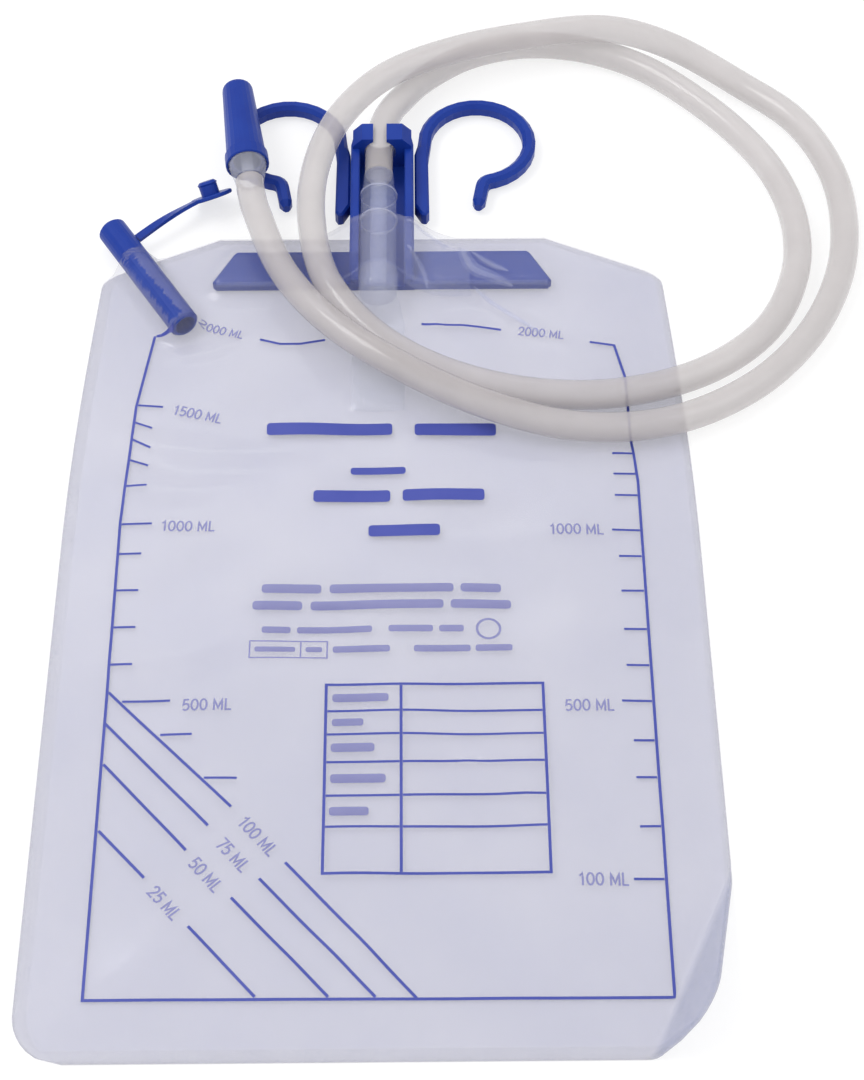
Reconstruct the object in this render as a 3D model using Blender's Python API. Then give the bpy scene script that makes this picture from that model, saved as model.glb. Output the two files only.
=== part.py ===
"""Urine drainage bag lying flat: two welded films round a blue hanger with two folding hooks, a clear
inlet connector and its flutter valve, the long drainage tube with its capped catheter connector, and a
blue outlet port with a tethered cap.

Metres, +Z up. The origin lies under the middle of the film pouch, on the surface that the bag rests on.
+Y runs from the bag's foot to its hanger, and +X to the right of the printed front.
"""

import math

import bmesh
import bpy
from mathutils import Matrix, Vector

# Film pouch
BAG_LENGTH = 0.306
BAG_WIDTH = 0.205
SHOULDER_WIDTH = 0.195
TOP_EDGE_WIDTH = 0.115
SHOULDER_DROP = 0.018
TAPER_LENGTH = 0.115
FOOT_CORNER_RADIUS = 0.015
FILM = 0.0003
WELD_WIDTH = 0.005
PILLOW = 0.0008
PILLOW_REACH = 0.045
CURL_RADIUS = 0.0035
CURL_TURN_DEGREES = 61.0
CURL_FROM_FOOT = 0.0600
CURL_FROM_SIDE = 0.0280
DRAPE_EASE = 0.0016
SKIRT_SLOPE = 2.4
PORT_SKIRT_SLOPE = 1.15
PORT_EASE = 0.0044

# Gap between pieces that touch, and the looser gap round pieces that the film only covers
CLEARANCE = 0.0003
FILM_SLACK = 0.0004

# Hanger: a bar sealed between the films and a channel that grips the tube
BAR_BOTTOM_WIDTH = 0.1175
BAR_TOP_WIDTH = 0.1025
BAR_HEIGHT = 0.015
BAR_THICKNESS = 0.0044
BAR_CORNER = 0.0012
HANGER_LENGTH = 0.0657
BAR_FROM_TOP_EDGE = 0.0245
CHANNEL_WIDTH = 0.0160
CHANNEL_WALL = 0.0032
CHANNEL_FLOOR = 0.0020
CHANNEL_RIM = 0.0110
CHANNEL_CHAMFER = 0.0008
CHANNEL_RAMP = 0.0085
SHOULDER_TAPER = 0.0050
CLIP_LENGTH = 0.0080
CLIP_WALL = 0.0008
CLIP_TOP_HALF = 0.0072
CLIP_SHOULDER_DROP = 0.0034
CLIP_SIDE_STEP = 0.0007
CLIP_CLEARANCE = 0.0007
CLIP_OFFSET_X = -0.0008
CLIP_MOUTH = 0.0048
CLIP_SEAT_STEPS = 20

# Folding hooks
HOOK_RADIUS = 0.01905
HOOK_CENTRE_X = 0.0343
HOOK_CENTRE_FROM_BAR = 0.0679
ARM_WIDTH = 0.0046
ARM_HEIGHT = 0.0058
ARM_BEVEL = 0.0013
ARM_LIFT = 0.0005
ARC_END_DEGREES = -84.0
ELBOW_REACH = 0.0030
ELBOW_STEPS = 4
ARC_STEPS = 22
TAIL_TIP_SHARE = 0.55
TAIL_LENGTH = 0.0126
TAIL_LEAN_DEGREES = 10.0
SHANK_WIDTH = 0.0052
SHANK_HEIGHT = 0.0060
SHANK_LIFT = 0.0010
SHANK_LENGTH = 0.0336
SHANK_FOOT_GAP = 0.0059
SHANK_BEVEL = 0.0007

# Drainage tube and the connector that brings it into the bag
TUBE_DIAMETER = 0.0100
TUBE_AXIS_HEIGHT = 0.00975
CONNECTOR_OFFSET_X = -0.0012
CONNECTOR_DIAMETER = 0.0127
CONNECTOR_BORE = 0.0060
CONNECTOR_INSIDE_BAG = 0.0340
CONNECTOR_BARREL = 0.0490
CONNECTOR_NECK = 0.0065
RING_GROOVE = 0.0004
RING_WIDTH = 0.0016
RING_FROM_NECK = 0.0065

# Flutter valve: a flat sleeve that starts round the connector
VALVE_LENGTH = 0.0530
VALVE_WIDTH = 0.0180
VALVE_FLAT_HEIGHT = 0.0018
VALVE_COLLAPSE = 0.0070

# Outlet port, and its cap on a strap
PORT_DIAMETER = 0.0104
PORT_BORE = 0.0074
PORT_LENGTH = 0.0530
PORT_FROM_SIDE = 0.0213
PORT_MIDDLE_FROM_TOP = 0.0216
PORT_LEAN_DEGREES = 32.5
PORT_EDGE = 0.0009
STRAP_FROM_MOUTH = 0.0090
STRAP_WIDTH = 0.0030
STRAP_THICKNESS = 0.0013
STRAP_RISE = 0.0010
STRAP_FLARE = 0.9
STRAP_STEPS = 8
FLANGE_DIAMETER = 0.0152
FLANGE_THICKNESS = 0.0014
FLANGE_REACH_X = 0.0251
FLANGE_REACH_Y = 0.0197
FLANGE_HEIGHT = 0.0062
FLANGE_TILT = (-0.30, 0.62, 0.72)
PLUG_CLEARANCE = 0.0001
PLUG_LENGTH = 0.0050
PLUG_BEAD = 0.0003

# Catheter connector on the tube's far end, and its pull-off cap
NOSE_LENGTH = 0.0285
NOSE_ROOT_DIAMETER = 0.0096
NOSE_TIP_DIAMETER = 0.0066
NOSE_BORE = 0.0046
BELL_DIAMETER = 0.0136
BELL_LENGTH = 0.0075
BELL_RIM = 0.0015
CAP_LENGTH = 0.0394
CAP_MOUTH_DIAMETER = 0.0155
CAP_MOUTH_DEPTH = 0.0020
CAP_END_DIAMETER = 0.0112
CAP_RIM_LENGTH = 0.0050
CAP_RIM_STEP = 0.0007
CAP_WALL = 0.0013
CAP_ROUNDING = 0.0016

# The tube's lie: points of its centreline from the inlet connector to the catheter connector
TUBE_STEP = 0.0160
TUBE_SPAN_STEPS = 12
TAIL_TURN_DEGREES = 7.7
TUBE_ROUTE = (
    (-0.0011, 0.1880, 0.00975),
    (-0.0004, 0.1968, 0.0096),
    (0.0020, 0.2062, 0.0088),
    (0.0066, 0.2154, 0.0076),
    (0.0160, 0.2290, 0.0055),
    (0.0325, 0.2414, 0.0050),
    (0.0530, 0.2469, 0.0050),
    (0.0750, 0.2446, 0.0050),
    (0.0954, 0.2354, 0.0050),
    (0.1130, 0.2200, 0.0050),
    (0.1290, 0.2008, 0.0050),
    (0.1406, 0.1796, 0.0050),
    (0.1459, 0.1555, 0.0050),
    (0.1434, 0.1306, 0.0050),
    (0.1314, 0.1060, 0.0054),
    (0.1090, 0.0872, 0.0064),
    (0.0800, 0.0776, 0.0069),
    (0.0500, 0.0779, 0.0071),
    (0.0220, 0.0862, 0.0076),
    (-0.0010, 0.0995, 0.0106),
    (-0.0179, 0.1199, 0.0143),
    (-0.0242, 0.1470, 0.0134),
    (-0.0238, 0.1740, 0.0134),
    (-0.0158, 0.1986, 0.0146),
    (0.0006, 0.2176, 0.0170),
    (0.0240, 0.2312, 0.0165),
    (0.0520, 0.2404, 0.0155),
    (0.0820, 0.2442, 0.0155),
    (0.1070, 0.2394, 0.0112),
    (0.1330, 0.2240, 0.0057),
    (0.1514, 0.2058, 0.0050),
    (0.1616, 0.1810, 0.0050),
    (0.1634, 0.1550, 0.0050),
    (0.1584, 0.1290, 0.0050),
    (0.1452, 0.1028, 0.0051),
    (0.1240, 0.0806, 0.0054),
    (0.0956, 0.0658, 0.0065),
    (0.0640, 0.0634, 0.0073),
    (0.0330, 0.0712, 0.0104),
    (0.0044, 0.0854, 0.0140),
    (-0.0180, 0.1038, 0.0146),
    (-0.0340, 0.1270, 0.0136),
    (-0.0434, 0.1526, 0.0139),
    (-0.0459, 0.16245, 0.0143),
    (-0.0467, 0.1684, 0.0143),
)

# Sides of the round pieces
ROUND_SIDES = 24
SLEEVE_SIDES = 20

# The shank's corners as shares of its width: across from the hinge, and up from its foot or its head
SHANK_FOOT = ((0.45, 0.08), (0.62, 0.0), (0.80, 0.0), (1.0, 0.35))
SHANK_HEAD = ((0.94, 0.0), (0.20, 0.0), (0.0, -0.8))
SHANK_NOTCH = 0.95

# The films' mesh: its steps, and how far its finer stretches reach past the pieces that they cover
CURL_STEP = 0.0035
PORT_STEP = 0.0048
SIDE_STEP = 0.0078
OPEN_STEP = 0.0095
TOWER_STEP = 0.0030
FLAT_STEP = 0.0270
VALVE_STEP = 0.0090
COLLAPSE_STEP = 0.0026
BAR_STEP = 0.0042
BACK_STEP = 0.0400
FOOT_CORNER_STEPS = 4
CURL_MARGIN_X = 0.0100
CURL_MARGIN_Y = 0.0040
PORT_MARGIN = 0.0110
TOWER_MARGIN = 0.0148
VALVE_END_MARGIN = 0.0120
COLLAPSE_MARGIN = 0.0160
CONNECTOR_MARGIN = 0.0035

# Places worked out from the sizes above
TOP_EDGE_Y = BAG_LENGTH / 2
FOOT_Y = -BAG_LENGTH / 2
SHOULDER_Y = TOP_EDGE_Y - SHOULDER_DROP
FILM_PAIR = FILM + CLEARANCE
HANGER_BASE = FILM_PAIR
HANGER_Y = TOP_EDGE_Y - BAR_FROM_TOP_EDGE
HANGER_END_Y = HANGER_Y + HANGER_LENGTH
BAR_TOP = HANGER_BASE + BAR_THICKNESS
CHANNEL_HALF = CHANNEL_WIDTH / 2
TOWER_HALF = CHANNEL_HALF + CHANNEL_WALL
TUBE_RADIUS = TUBE_DIAMETER / 2
CONNECTOR_RADIUS = CONNECTOR_DIAMETER / 2
CONNECTOR_Y = TOP_EDGE_Y - CONNECTOR_INSIDE_BAG
CONNECTOR_END_Y = CONNECTOR_Y + CONNECTOR_BARREL + CONNECTOR_NECK
VALVE_Y = HANGER_Y - CLEARANCE
VALVE_END_Y = VALVE_Y - VALVE_LENGTH
VALVE_RADIUS = CONNECTOR_RADIUS + CLEARANCE + FILM
PORT_RADIUS = PORT_DIAMETER / 2
PORT_LEAN = math.radians(PORT_LEAN_DEGREES)
PORT_AXIS = Vector((-math.sin(PORT_LEAN), math.cos(PORT_LEAN), 0))
PORT_SIDE = Vector((PORT_AXIS.y, -PORT_AXIS.x, 0))
PORT_MIDDLE_Y = TOP_EDGE_Y - PORT_MIDDLE_FROM_TOP
PORT_MIDDLE = Vector((PORT_FROM_SIDE - BAG_WIDTH / 2, PORT_MIDDLE_Y, FILM_PAIR + PORT_RADIUS))
PORT_INNER = PORT_MIDDLE - PORT_AXIS * PORT_LENGTH / 2
PORT_OUTER = PORT_MIDDLE + PORT_AXIS * PORT_LENGTH / 2
HOOK_HINGE_X = TOWER_HALF + CLEARANCE / 2
TAIL_END = Vector(TUBE_ROUTE[-1])
TAIL_TURN = math.radians(TAIL_TURN_DEGREES)
TAIL_AXIS = Vector((-math.sin(TAIL_TURN), math.cos(TAIL_TURN), 0))


def clear_scene():
    for old in list(bpy.data.objects):
        bpy.data.objects.remove(old, do_unlink=True)


def finish(name, colour, roughness, transmission=0.0):
    """A Principled material of one colour."""
    made = bpy.data.materials.new(name)
    made.use_nodes = True
    shader = made.node_tree.nodes["Principled BSDF"]
    shader.inputs["Base Color"].default_value = (*colour, 1.0)
    shader.inputs["Roughness"].default_value = roughness
    shader.inputs["Metallic"].default_value = 0.0
    shader.inputs["Transmission Weight"].default_value = transmission
    return made


def add_object(name, vertices, faces, material, helper=False):
    """An object from vertices and faces, facing out and shaded smooth but for its sharp edges."""
    mesh = bpy.data.meshes.new(name)
    mesh.from_pydata([tuple(v) for v in vertices], [], faces)
    shaped = bmesh.new()
    shaped.from_mesh(mesh)
    bmesh.ops.recalc_face_normals(shaped, faces=shaped.faces)
    shaped.to_mesh(mesh)
    shaped.free()
    mesh.materials.append(material)
    mesh.shade_smooth()
    mesh.set_sharp_from_angle(angle=math.radians(35))
    made = bpy.data.objects.new(name, mesh)
    bpy.context.scene.collection.objects.link(made)
    if helper:
        made.hide_render = True
        made.display_type = "WIRE"
    return made


def set_origin(obj, point):
    """Moves an object's origin to a point and leaves its shape where it is."""
    obj.data.transform(Matrix.Translation(-Vector(point)))
    obj.location = point


def stand_along(obj, base, direction):
    """Lays an object's own Z axis along a direction, with its own origin at base."""
    obj.location = base
    obj.rotation_euler = Vector(direction).to_track_quat("Z", "Y").to_euler()


def unite(obj, other):
    """Adds another closed shape to an object with a Boolean union."""
    join = obj.modifiers.new("join_" + other.name, "BOOLEAN")
    join.operation = "UNION"
    join.solver = "EXACT"
    join.object = other


def loft(rings):
    """Vertices and faces of a solid that runs through rings of equal count, capped at both ends."""
    count = len(rings[0])
    vertices = [v for ring in rings for v in ring]
    faces = [tuple(reversed(range(count)))]
    for step in range(len(rings) - 1):
        low = step * count
        for i in range(count):
            following = (i + 1) % count
            faces.append((low + i, low + following, low + count + following, low + count + i))
    last = (len(rings) - 1) * count
    faces.append(tuple(range(last, last + count)))
    return vertices, faces


def closed_loft(rings):
    """As loft, but the last ring joins the first, so the solid has a way through it."""
    count = len(rings[0])
    vertices = [v for ring in rings for v in ring]
    faces = []
    for step in range(len(rings)):
        low = step * count
        high = (step + 1) % len(rings) * count
        for i in range(count):
            following = (i + 1) % count
            faces.append((low + i, low + following, high + following, high + i))
    return vertices, faces


def cup(rings, outer_count):
    """As closed_loft, but closed across the last outer ring and the first inner one: a blind hollow."""
    vertices, faces = closed_loft(rings)
    count = len(rings[0])
    low = (outer_count - 1) * count
    faces = faces[:low] + faces[low + count :]
    faces.append(tuple(range(low, low + count)))
    faces.append(tuple(reversed(range(low + count, low + 2 * count))))
    return vertices, faces


def circle(radius, height, sides, squash=1.0):
    """Points of a circle, or an ellipse, round the Z axis at a height."""
    turns = [2 * math.pi * i / sides for i in range(sides)]
    return [Vector((radius * math.cos(t), radius * squash * math.sin(t), height)) for t in turns]


def turned(profile, sides, hollow):
    """A turned shape round Z from (radius, height) points: a closed outline where it is hollow."""
    rings = [circle(radius, height, sides) for radius, height in profile]
    return closed_loft(rings) if hollow else loft(rings)


def inset(outline, distance):
    """An outline that turns anticlockwise, moved inwards by a distance at every corner."""
    moved = []
    for i, here in enumerate(outline):
        before = (Vector(here) - Vector(outline[i - 1])).normalized()
        after = (Vector(outline[(i + 1) % len(outline)]) - Vector(here)).normalized()
        inward = Vector((-before.y - after.y, before.x + after.x)).normalized()
        reach = distance / max(0.35, inward.dot(Vector((-before.y, before.x))))
        moved.append(Vector(here) + inward * reach)
    return moved


def bevelled_prism(outline, low, high, bevel):
    """A solid of an anticlockwise outline between two heights, with its top and bottom edges bevelled."""
    small = inset(outline, bevel)
    levels = ((small, low), (outline, low + bevel), (outline, high - bevel), (small, high))
    return loft([[Vector((p[0], p[1], z)) for p in points] for points, z in levels])


def smooth_points(route, per_span):
    """Points of one smooth curve through a route's points."""
    points = [Vector(p) for p in route]
    ends = [2 * points[0] - points[1], *points, 2 * points[-1] - points[-2]]
    made = []
    for before, start, end, after in zip(ends, ends[1:], ends[2:], ends[3:]):
        for step in range(per_span):
            t = step / per_span
            made.append(
                0.5
                * (
                    2 * start
                    + (end - before) * t
                    + (2 * before - 5 * start + 4 * end - after) * t**2
                    + (3 * start - before - 3 * end + after) * t**3
                )
            )
    made.append(points[-1])
    return made


def swept(path, width, height, bevel, tip_share=1.0):
    """A flat bar of bevelled section swept along a path, mitred where it turns and smaller at its tip."""
    half, tall = width / 2, height / 2
    section = (
        (half, -tall + bevel),
        (half, tall - bevel),
        (half - bevel, tall),
        (-half + bevel, tall),
        (-half, tall - bevel),
        (-half, -tall + bevel),
        (-half + bevel, -tall),
        (half - bevel, -tall),
    )
    rings = []
    for i, here in enumerate(path):
        before = (here - path[i - 1]).normalized() if i else (path[1] - here).normalized()
        after = (path[i + 1] - here).normalized() if i + 1 < len(path) else before
        along = (before + after).normalized()
        side = Vector((along.y, -along.x, 0)).normalized() / along.dot(before)
        up = side.cross(along).normalized()
        share = tip_share if i + 1 == len(path) else 1.0
        rings.append([here + (side * across + up * rise) * share for across, rise in section])
    return loft(rings)


def graded(*stretches):
    """Positions from one stop to the next, each stretch in even steps of about its own length."""
    places = [stretches[0][0]]
    for start, end, step in stretches:
        count = max(1, round(abs(end - start) / step))
        places += [start + (end - start) * (i + 1) / count for i in range(count)]
    return places


def half_width(y):
    """Half the pouch's width: square shoulders cut off at the top and round corners at the foot."""
    if y > SHOULDER_Y:
        share = (y - SHOULDER_Y) / SHOULDER_DROP
        return (SHOULDER_WIDTH + (TOP_EDGE_WIDTH - SHOULDER_WIDTH) * share) / 2
    rise = FOOT_CORNER_RADIUS - (y - FOOT_Y)
    if rise > 0:
        return BAG_WIDTH / 2 - FOOT_CORNER_RADIUS + math.sqrt(max(0.0, FOOT_CORNER_RADIUS**2 - rise**2))
    share = min(1.0, (SHOULDER_Y - y) / TAPER_LENGTH)
    return (SHOULDER_WIDTH + (BAG_WIDTH - SHOULDER_WIDTH) * math.sin(share * math.pi / 2)) / 2


def curled(point):
    """Bends the pouch's right foot corner up, beyond a crease from its side to its foot."""
    on_side = Vector((BAG_WIDTH / 2, FOOT_Y + CURL_FROM_FOOT))
    on_foot = Vector((BAG_WIDTH / 2 - CURL_FROM_SIDE, FOOT_Y))
    crease = (on_foot - on_side).normalized()
    outward = Vector((-crease.y, crease.x))
    beyond = (point.xy - on_side).dot(outward)
    if beyond <= 0:
        return point
    turn = min(beyond / CURL_RADIUS, math.radians(CURL_TURN_DEGREES))
    straight = beyond - CURL_RADIUS * turn
    bent = CURL_RADIUS - point.z
    reach = bent * math.sin(turn) + straight * math.cos(turn)
    flat = point.xy + outward * (reach - beyond)
    return Vector((flat.x, flat.y, CURL_RADIUS - bent * math.cos(turn) + straight * math.sin(turn)))


def tent(away, middle, half_wide, half_tall, slope, ease):
    """Height of film drawn over a rounded piece: flat over its top, then down in a straight skirt."""
    peak = middle + math.hypot(half_wide * slope, half_tall)
    return min(middle + half_tall, peak - slope * max(0.0, away - ease)) + FILM_SLACK


def over_block(x, y, half_wide, low_y, high_y, top):
    """Height of film over a flat-topped block that lies square to the pouch."""
    aside = max(0.0, abs(x) - half_wide - DRAPE_EASE)
    beyond = max(0.0, low_y - DRAPE_EASE - y, y - high_y - DRAPE_EASE)
    return top + FILM_SLACK - SKIRT_SLOPE * math.hypot(aside, beyond)


def valve_section(y):
    """Middle height, half width and half height of the valve's sleeve at a place along the pouch."""
    share = min(1.0, max(0.0, (CONNECTOR_Y - y) / VALVE_COLLAPSE))
    ease = share * share * (3 - 2 * share)
    flat_middle = FILM_PAIR + VALVE_FLAT_HEIGHT / 2
    middle = TUBE_AXIS_HEIGHT + (flat_middle - TUBE_AXIS_HEIGHT) * ease
    half_wide = VALVE_RADIUS + (VALVE_WIDTH / 2 - VALVE_RADIUS) * ease
    half_tall = VALVE_RADIUS + (VALVE_FLAT_HEIGHT / 2 - VALVE_RADIUS) * ease
    return middle, half_wide, half_tall


def over_valve(x, y):
    middle, half_wide, half_tall = valve_section(y + DRAPE_EASE / 2)
    beyond = max(0.0, VALVE_END_Y - DRAPE_EASE - y)
    aside = abs(x - CONNECTOR_OFFSET_X) + beyond
    return tent(aside, middle, half_wide, half_tall, SKIRT_SLOPE, DRAPE_EASE)


def over_port(x, y):
    place = Vector((x, y, PORT_MIDDLE.z)) - PORT_MIDDLE
    along = max(0.0, abs(place.dot(PORT_AXIS)) - PORT_LENGTH / 2)
    across = place.dot(PORT_SIDE)
    away = math.hypot(along, across)
    return tent(away, PORT_MIDDLE.z, PORT_RADIUS, PORT_RADIUS, PORT_SKIRT_SLOPE, PORT_EASE)


def front_underside(x, y):
    """Height of the front film's underside: a slack pouch drawn over the pieces inside it."""
    edge = min(half_width(y) - abs(x), y - FOOT_Y, TOP_EDGE_Y - y) - WELD_WIDTH
    share = min(1.0, max(0.0, edge / PILLOW_REACH))
    slack = FILM_PAIR + PILLOW * share * share * (3 - 2 * share)
    ramp_y = HANGER_Y + CHANNEL_RAMP / 2
    bar = over_block(x, y, BAR_BOTTOM_WIDTH / 2, HANGER_Y, HANGER_Y + BAR_HEIGHT, BAR_TOP)
    tower = over_block(x, y, TOWER_HALF, ramp_y, HANGER_END_Y, HANGER_BASE + CHANNEL_RIM)
    return max(slack, bar, tower, over_valve(x, y), over_port(x, y))


def film(name, columns, rows, underside, material):
    """One sheet of the pouch, from columns of the full width and rows along the length."""
    low, high = [], []
    for y in rows:
        narrow = half_width(y) / (BAG_WIDTH / 2)
        for column in columns:
            x = column * narrow
            z = underside(x, y)
            low.append(curled(Vector((x, y, z))))
            high.append(curled(Vector((x, y, z + FILM))))
    wide, total = len(columns), len(low)
    faces = []
    for row in range(len(rows) - 1):
        for i in range(row * wide, row * wide + wide - 1):
            faces.append((i, i + wide, i + wide + 1, i + 1))
            faces.append((total + i, total + i + 1, total + i + wide + 1, total + i + wide))
    rim = list(range(wide))
    rim += [row * wide + wide - 1 for row in range(1, len(rows))]
    rim += [total - 1 - i for i in range(1, wide)]
    rim += [row * wide for row in range(len(rows) - 2, 0, -1)]
    for here, following in zip(rim, rim[1:] + rim[:1]):
        faces.append((here, following, total + following, total + here))
    return add_object(name, low + high, faces, material)


def build_films(material):
    half = BAG_WIDTH / 2
    curl_y = FOOT_Y + CURL_FROM_FOOT + CURL_MARGIN_Y
    bar_x = (BAR_BOTTOM_WIDTH / 2 + DRAPE_EASE) * half / half_width(HANGER_Y)
    fine_x = min(bar_x, half - CURL_FROM_SIDE - CURL_MARGIN_X)
    fine_columns = (fine_x, half, CURL_STEP)
    curl_rows = (FOOT_Y + FOOT_CORNER_RADIUS, curl_y, CURL_STEP)
    quarter = [math.pi / 2 * i / FOOT_CORNER_STEPS for i in range(FOOT_CORNER_STEPS)]
    foot_rows = [FOOT_Y + FOOT_CORNER_RADIUS * (1 - math.cos(turn)) for turn in quarter]
    port_x = PORT_INNER.x + PORT_MARGIN
    near_tower = TOWER_HALF + TOWER_MARGIN
    valve_foot = VALVE_END_Y - VALVE_END_MARGIN
    collapse_foot = CONNECTOR_Y - COLLAPSE_MARGIN
    collapse_head = CONNECTOR_Y + CONNECTOR_MARGIN
    front_columns = graded(
        (-half, port_x, PORT_STEP),
        (port_x, -near_tower, SIDE_STEP),
        (-near_tower, near_tower, TOWER_STEP),
        (near_tower, fine_x, OPEN_STEP),
        fine_columns,
    )
    front_rows = foot_rows + graded(
        curl_rows,
        (curl_y, valve_foot, FLAT_STEP),
        (valve_foot, collapse_foot, VALVE_STEP),
        (collapse_foot, collapse_head, COLLAPSE_STEP),
        (collapse_head, SHOULDER_Y, BAR_STEP),
        (SHOULDER_Y, TOP_EDGE_Y, TOWER_STEP),
    )
    film("front_film", front_columns, front_rows, front_underside, material)
    back_columns = graded((-half, fine_x, BACK_STEP), fine_columns)
    back_rows = foot_rows + graded(
        curl_rows,
        (curl_y, SHOULDER_Y, BACK_STEP),
        (SHOULDER_Y, TOP_EDGE_Y, SHOULDER_DROP),
    )
    film("back_film", back_columns, back_rows, lambda x, y: 0.0, material)


def channel_section(y, half, rim):
    """The hanger's U section at a place along it, anticlockwise as seen from the foot."""
    base = HANGER_BASE
    chamfer = CHANNEL_CHAMFER
    inner = half - CHANNEL_WALL
    floor = base + CHANNEL_FLOOR
    return [
        Vector((x, y, z))
        for x, z in (
            (-half, base),
            (half, base),
            (half, rim - chamfer),
            (half - chamfer, rim),
            (inner + chamfer / 2, rim),
            (inner, rim - chamfer / 2),
            (inner, floor),
            (-inner, floor),
            (-inner, rim - chamfer / 2),
            (-inner - chamfer / 2, rim),
            (-half + chamfer, rim),
            (-half, rim - chamfer),
        )
    ]


def channel():
    """The open channel: its walls ramp up from the bar, and its far corners are eased."""
    rim = HANGER_BASE + CHANNEL_RIM
    start = HANGER_Y + CHANNEL_CHAMFER / 2
    stations = (
        (start, TOWER_HALF, BAR_TOP + CHANNEL_CHAMFER * 1.5),
        (start + CHANNEL_RAMP, TOWER_HALF, rim),
        (HANGER_END_Y - SHOULDER_TAPER, TOWER_HALF, rim),
        (HANGER_END_Y, TOWER_HALF - CHANNEL_CHAMFER, rim - CHANNEL_CHAMFER),
    )
    return loft([channel_section(*station) for station in stations])


def clip():
    """The C-shaped grip round the tube: a block as wide as the channel, with sloping shoulders."""
    inner = TUBE_RADIUS + CLIP_CLEARANCE
    top = TUBE_AXIS_HEIGHT + inner + CLIP_WALL
    side = TOWER_HALF - CLIP_SIDE_STEP
    base = HANGER_BASE + CHANNEL_FLOOR / 2
    mouth = CLIP_MOUTH / 2
    tip = math.asin(mouth / inner)
    sweep = 2 * math.pi - 2 * tip
    turns = [tip + sweep * i / CLIP_SEAT_STEPS for i in range(CLIP_SEAT_STEPS + 1)]
    seat = [(CLIP_OFFSET_X + inner * math.sin(a), TUBE_AXIS_HEIGHT + inner * math.cos(a)) for a in turns]
    section = [
        (-side, base),
        (side, base),
        (side, top - CLIP_SHOULDER_DROP),
        (CLIP_TOP_HALF, top),
        (CLIP_OFFSET_X + mouth, top),
        *seat,
        (CLIP_OFFSET_X - mouth, top),
        (-CLIP_TOP_HALF, top),
        (-side, top - CLIP_SHOULDER_DROP),
    ]
    proud = HANGER_END_Y + CLEARANCE
    return loft([[Vector((x, y, z)) for x, z in section] for y in (proud - CLIP_LENGTH, proud)])


def bar_wing(side):
    """One half of the bar, from inside the channel's wall to its slanted end."""
    root = CHANNEL_HALF + CHANNEL_WALL / 2
    low, high = HANGER_Y, HANGER_Y + BAR_HEIGHT
    corner = BAR_CORNER
    outline = [
        Vector((root, low)),
        Vector((BAR_BOTTOM_WIDTH / 2 - corner, low)),
        Vector((BAR_BOTTOM_WIDTH / 2, low + corner)),
        Vector((BAR_TOP_WIDTH / 2 + corner / 2, high - corner)),
        Vector((BAR_TOP_WIDTH / 2 - corner / 2, high)),
        Vector((root, high)),
    ]
    if side < 0:
        outline = [Vector((-p.x, p.y)) for p in reversed(outline)]
    return bevelled_prism(outline, HANGER_BASE + CLEARANCE / 2, BAR_TOP, BAR_CORNER / 2)


def build_hanger(material):
    hanger = add_object("hanger", *channel(), material)
    unite(hanger, add_object("clip_blank", *clip(), material, helper=True))
    for label, side in (("left", -1), ("right", 1)):
        unite(hanger, add_object(label + "_wing_blank", *bar_wing(side), material, helper=True))


def hook_arm(side):
    """The round hook: a three-quarter arc from the shank over to the tail that keeps it on a rail."""
    centre = Vector((HOOK_CENTRE_X, HANGER_Y + HOOK_CENTRE_FROM_BAR, ARM_LIFT + ARM_HEIGHT / 2))
    start = math.pi
    end = math.radians(ARC_END_DEGREES)
    turns = [start + (end - start) * i / ARC_STEPS for i in range(ARC_STEPS + 1)]
    path = [centre + HOOK_RADIUS * Vector((math.cos(t), math.sin(t), 0)) for t in turns]
    shank_middle = TOWER_HALF + CLEARANCE + SHANK_WIDTH / 2
    path.insert(0, Vector((shank_middle, path[0].y - ARM_WIDTH * 2, path[0].z)))
    lean = math.radians(TAIL_LEAN_DEGREES)
    down = Vector((-math.sin(lean), -math.cos(lean), 0))
    corner = path.pop()
    before = path.pop() if (corner - path[-1]).length < ELBOW_REACH else path[-1]
    arrive = corner + (before - corner).normalized() * ELBOW_REACH
    leave = corner + down * ELBOW_REACH
    for i in range(ELBOW_STEPS + 1):
        t = i / ELBOW_STEPS
        path.append(arrive * (1 - t) ** 2 + corner * 2 * t * (1 - t) + leave * t**2)
    path.append(corner + down * (TAIL_LENGTH - ARM_WIDTH / 2))
    path.append(corner + down * TAIL_LENGTH)
    if side < 0:
        path = [Vector((-p.x, p.y, p.z)) for p in path]
    return swept(path, ARM_WIDTH, ARM_HEIGHT, ARM_BEVEL, TAIL_TIP_SHARE)


def hook_shank(side):
    """The flat stem that lies along the channel's wall and folds away behind it."""
    inner = TOWER_HALF + CLEARANCE
    outer = inner + SHANK_WIDTH
    low = TOP_EDGE_Y + SHANK_FOOT_GAP
    high = low + SHANK_LENGTH
    outline = [Vector((inner + SHANK_WIDTH * across, low + SHANK_WIDTH * up)) for across, up in SHANK_FOOT]
    outline += [Vector((inner + SHANK_WIDTH * across, high + SHANK_WIDTH * up)) for across, up in SHANK_HEAD]
    outline.append(Vector((inner, low + SHANK_WIDTH * SHANK_NOTCH)))
    if side < 0:
        outline = [Vector((-p.x, p.y)) for p in reversed(outline)]
    return bevelled_prism(outline, SHANK_LIFT, SHANK_LIFT + SHANK_HEIGHT, SHANK_BEVEL)


def build_hook(name, side, material):
    hook = add_object(name, *hook_shank(side), material)
    unite(hook, add_object(name + "_arm_blank", *hook_arm(side), material, helper=True))
    set_origin(hook, (side * HOOK_HINGE_X, TOP_EDGE_Y + SHANK_FOOT_GAP + SHANK_LENGTH / 2, SHANK_LIFT))


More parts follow.
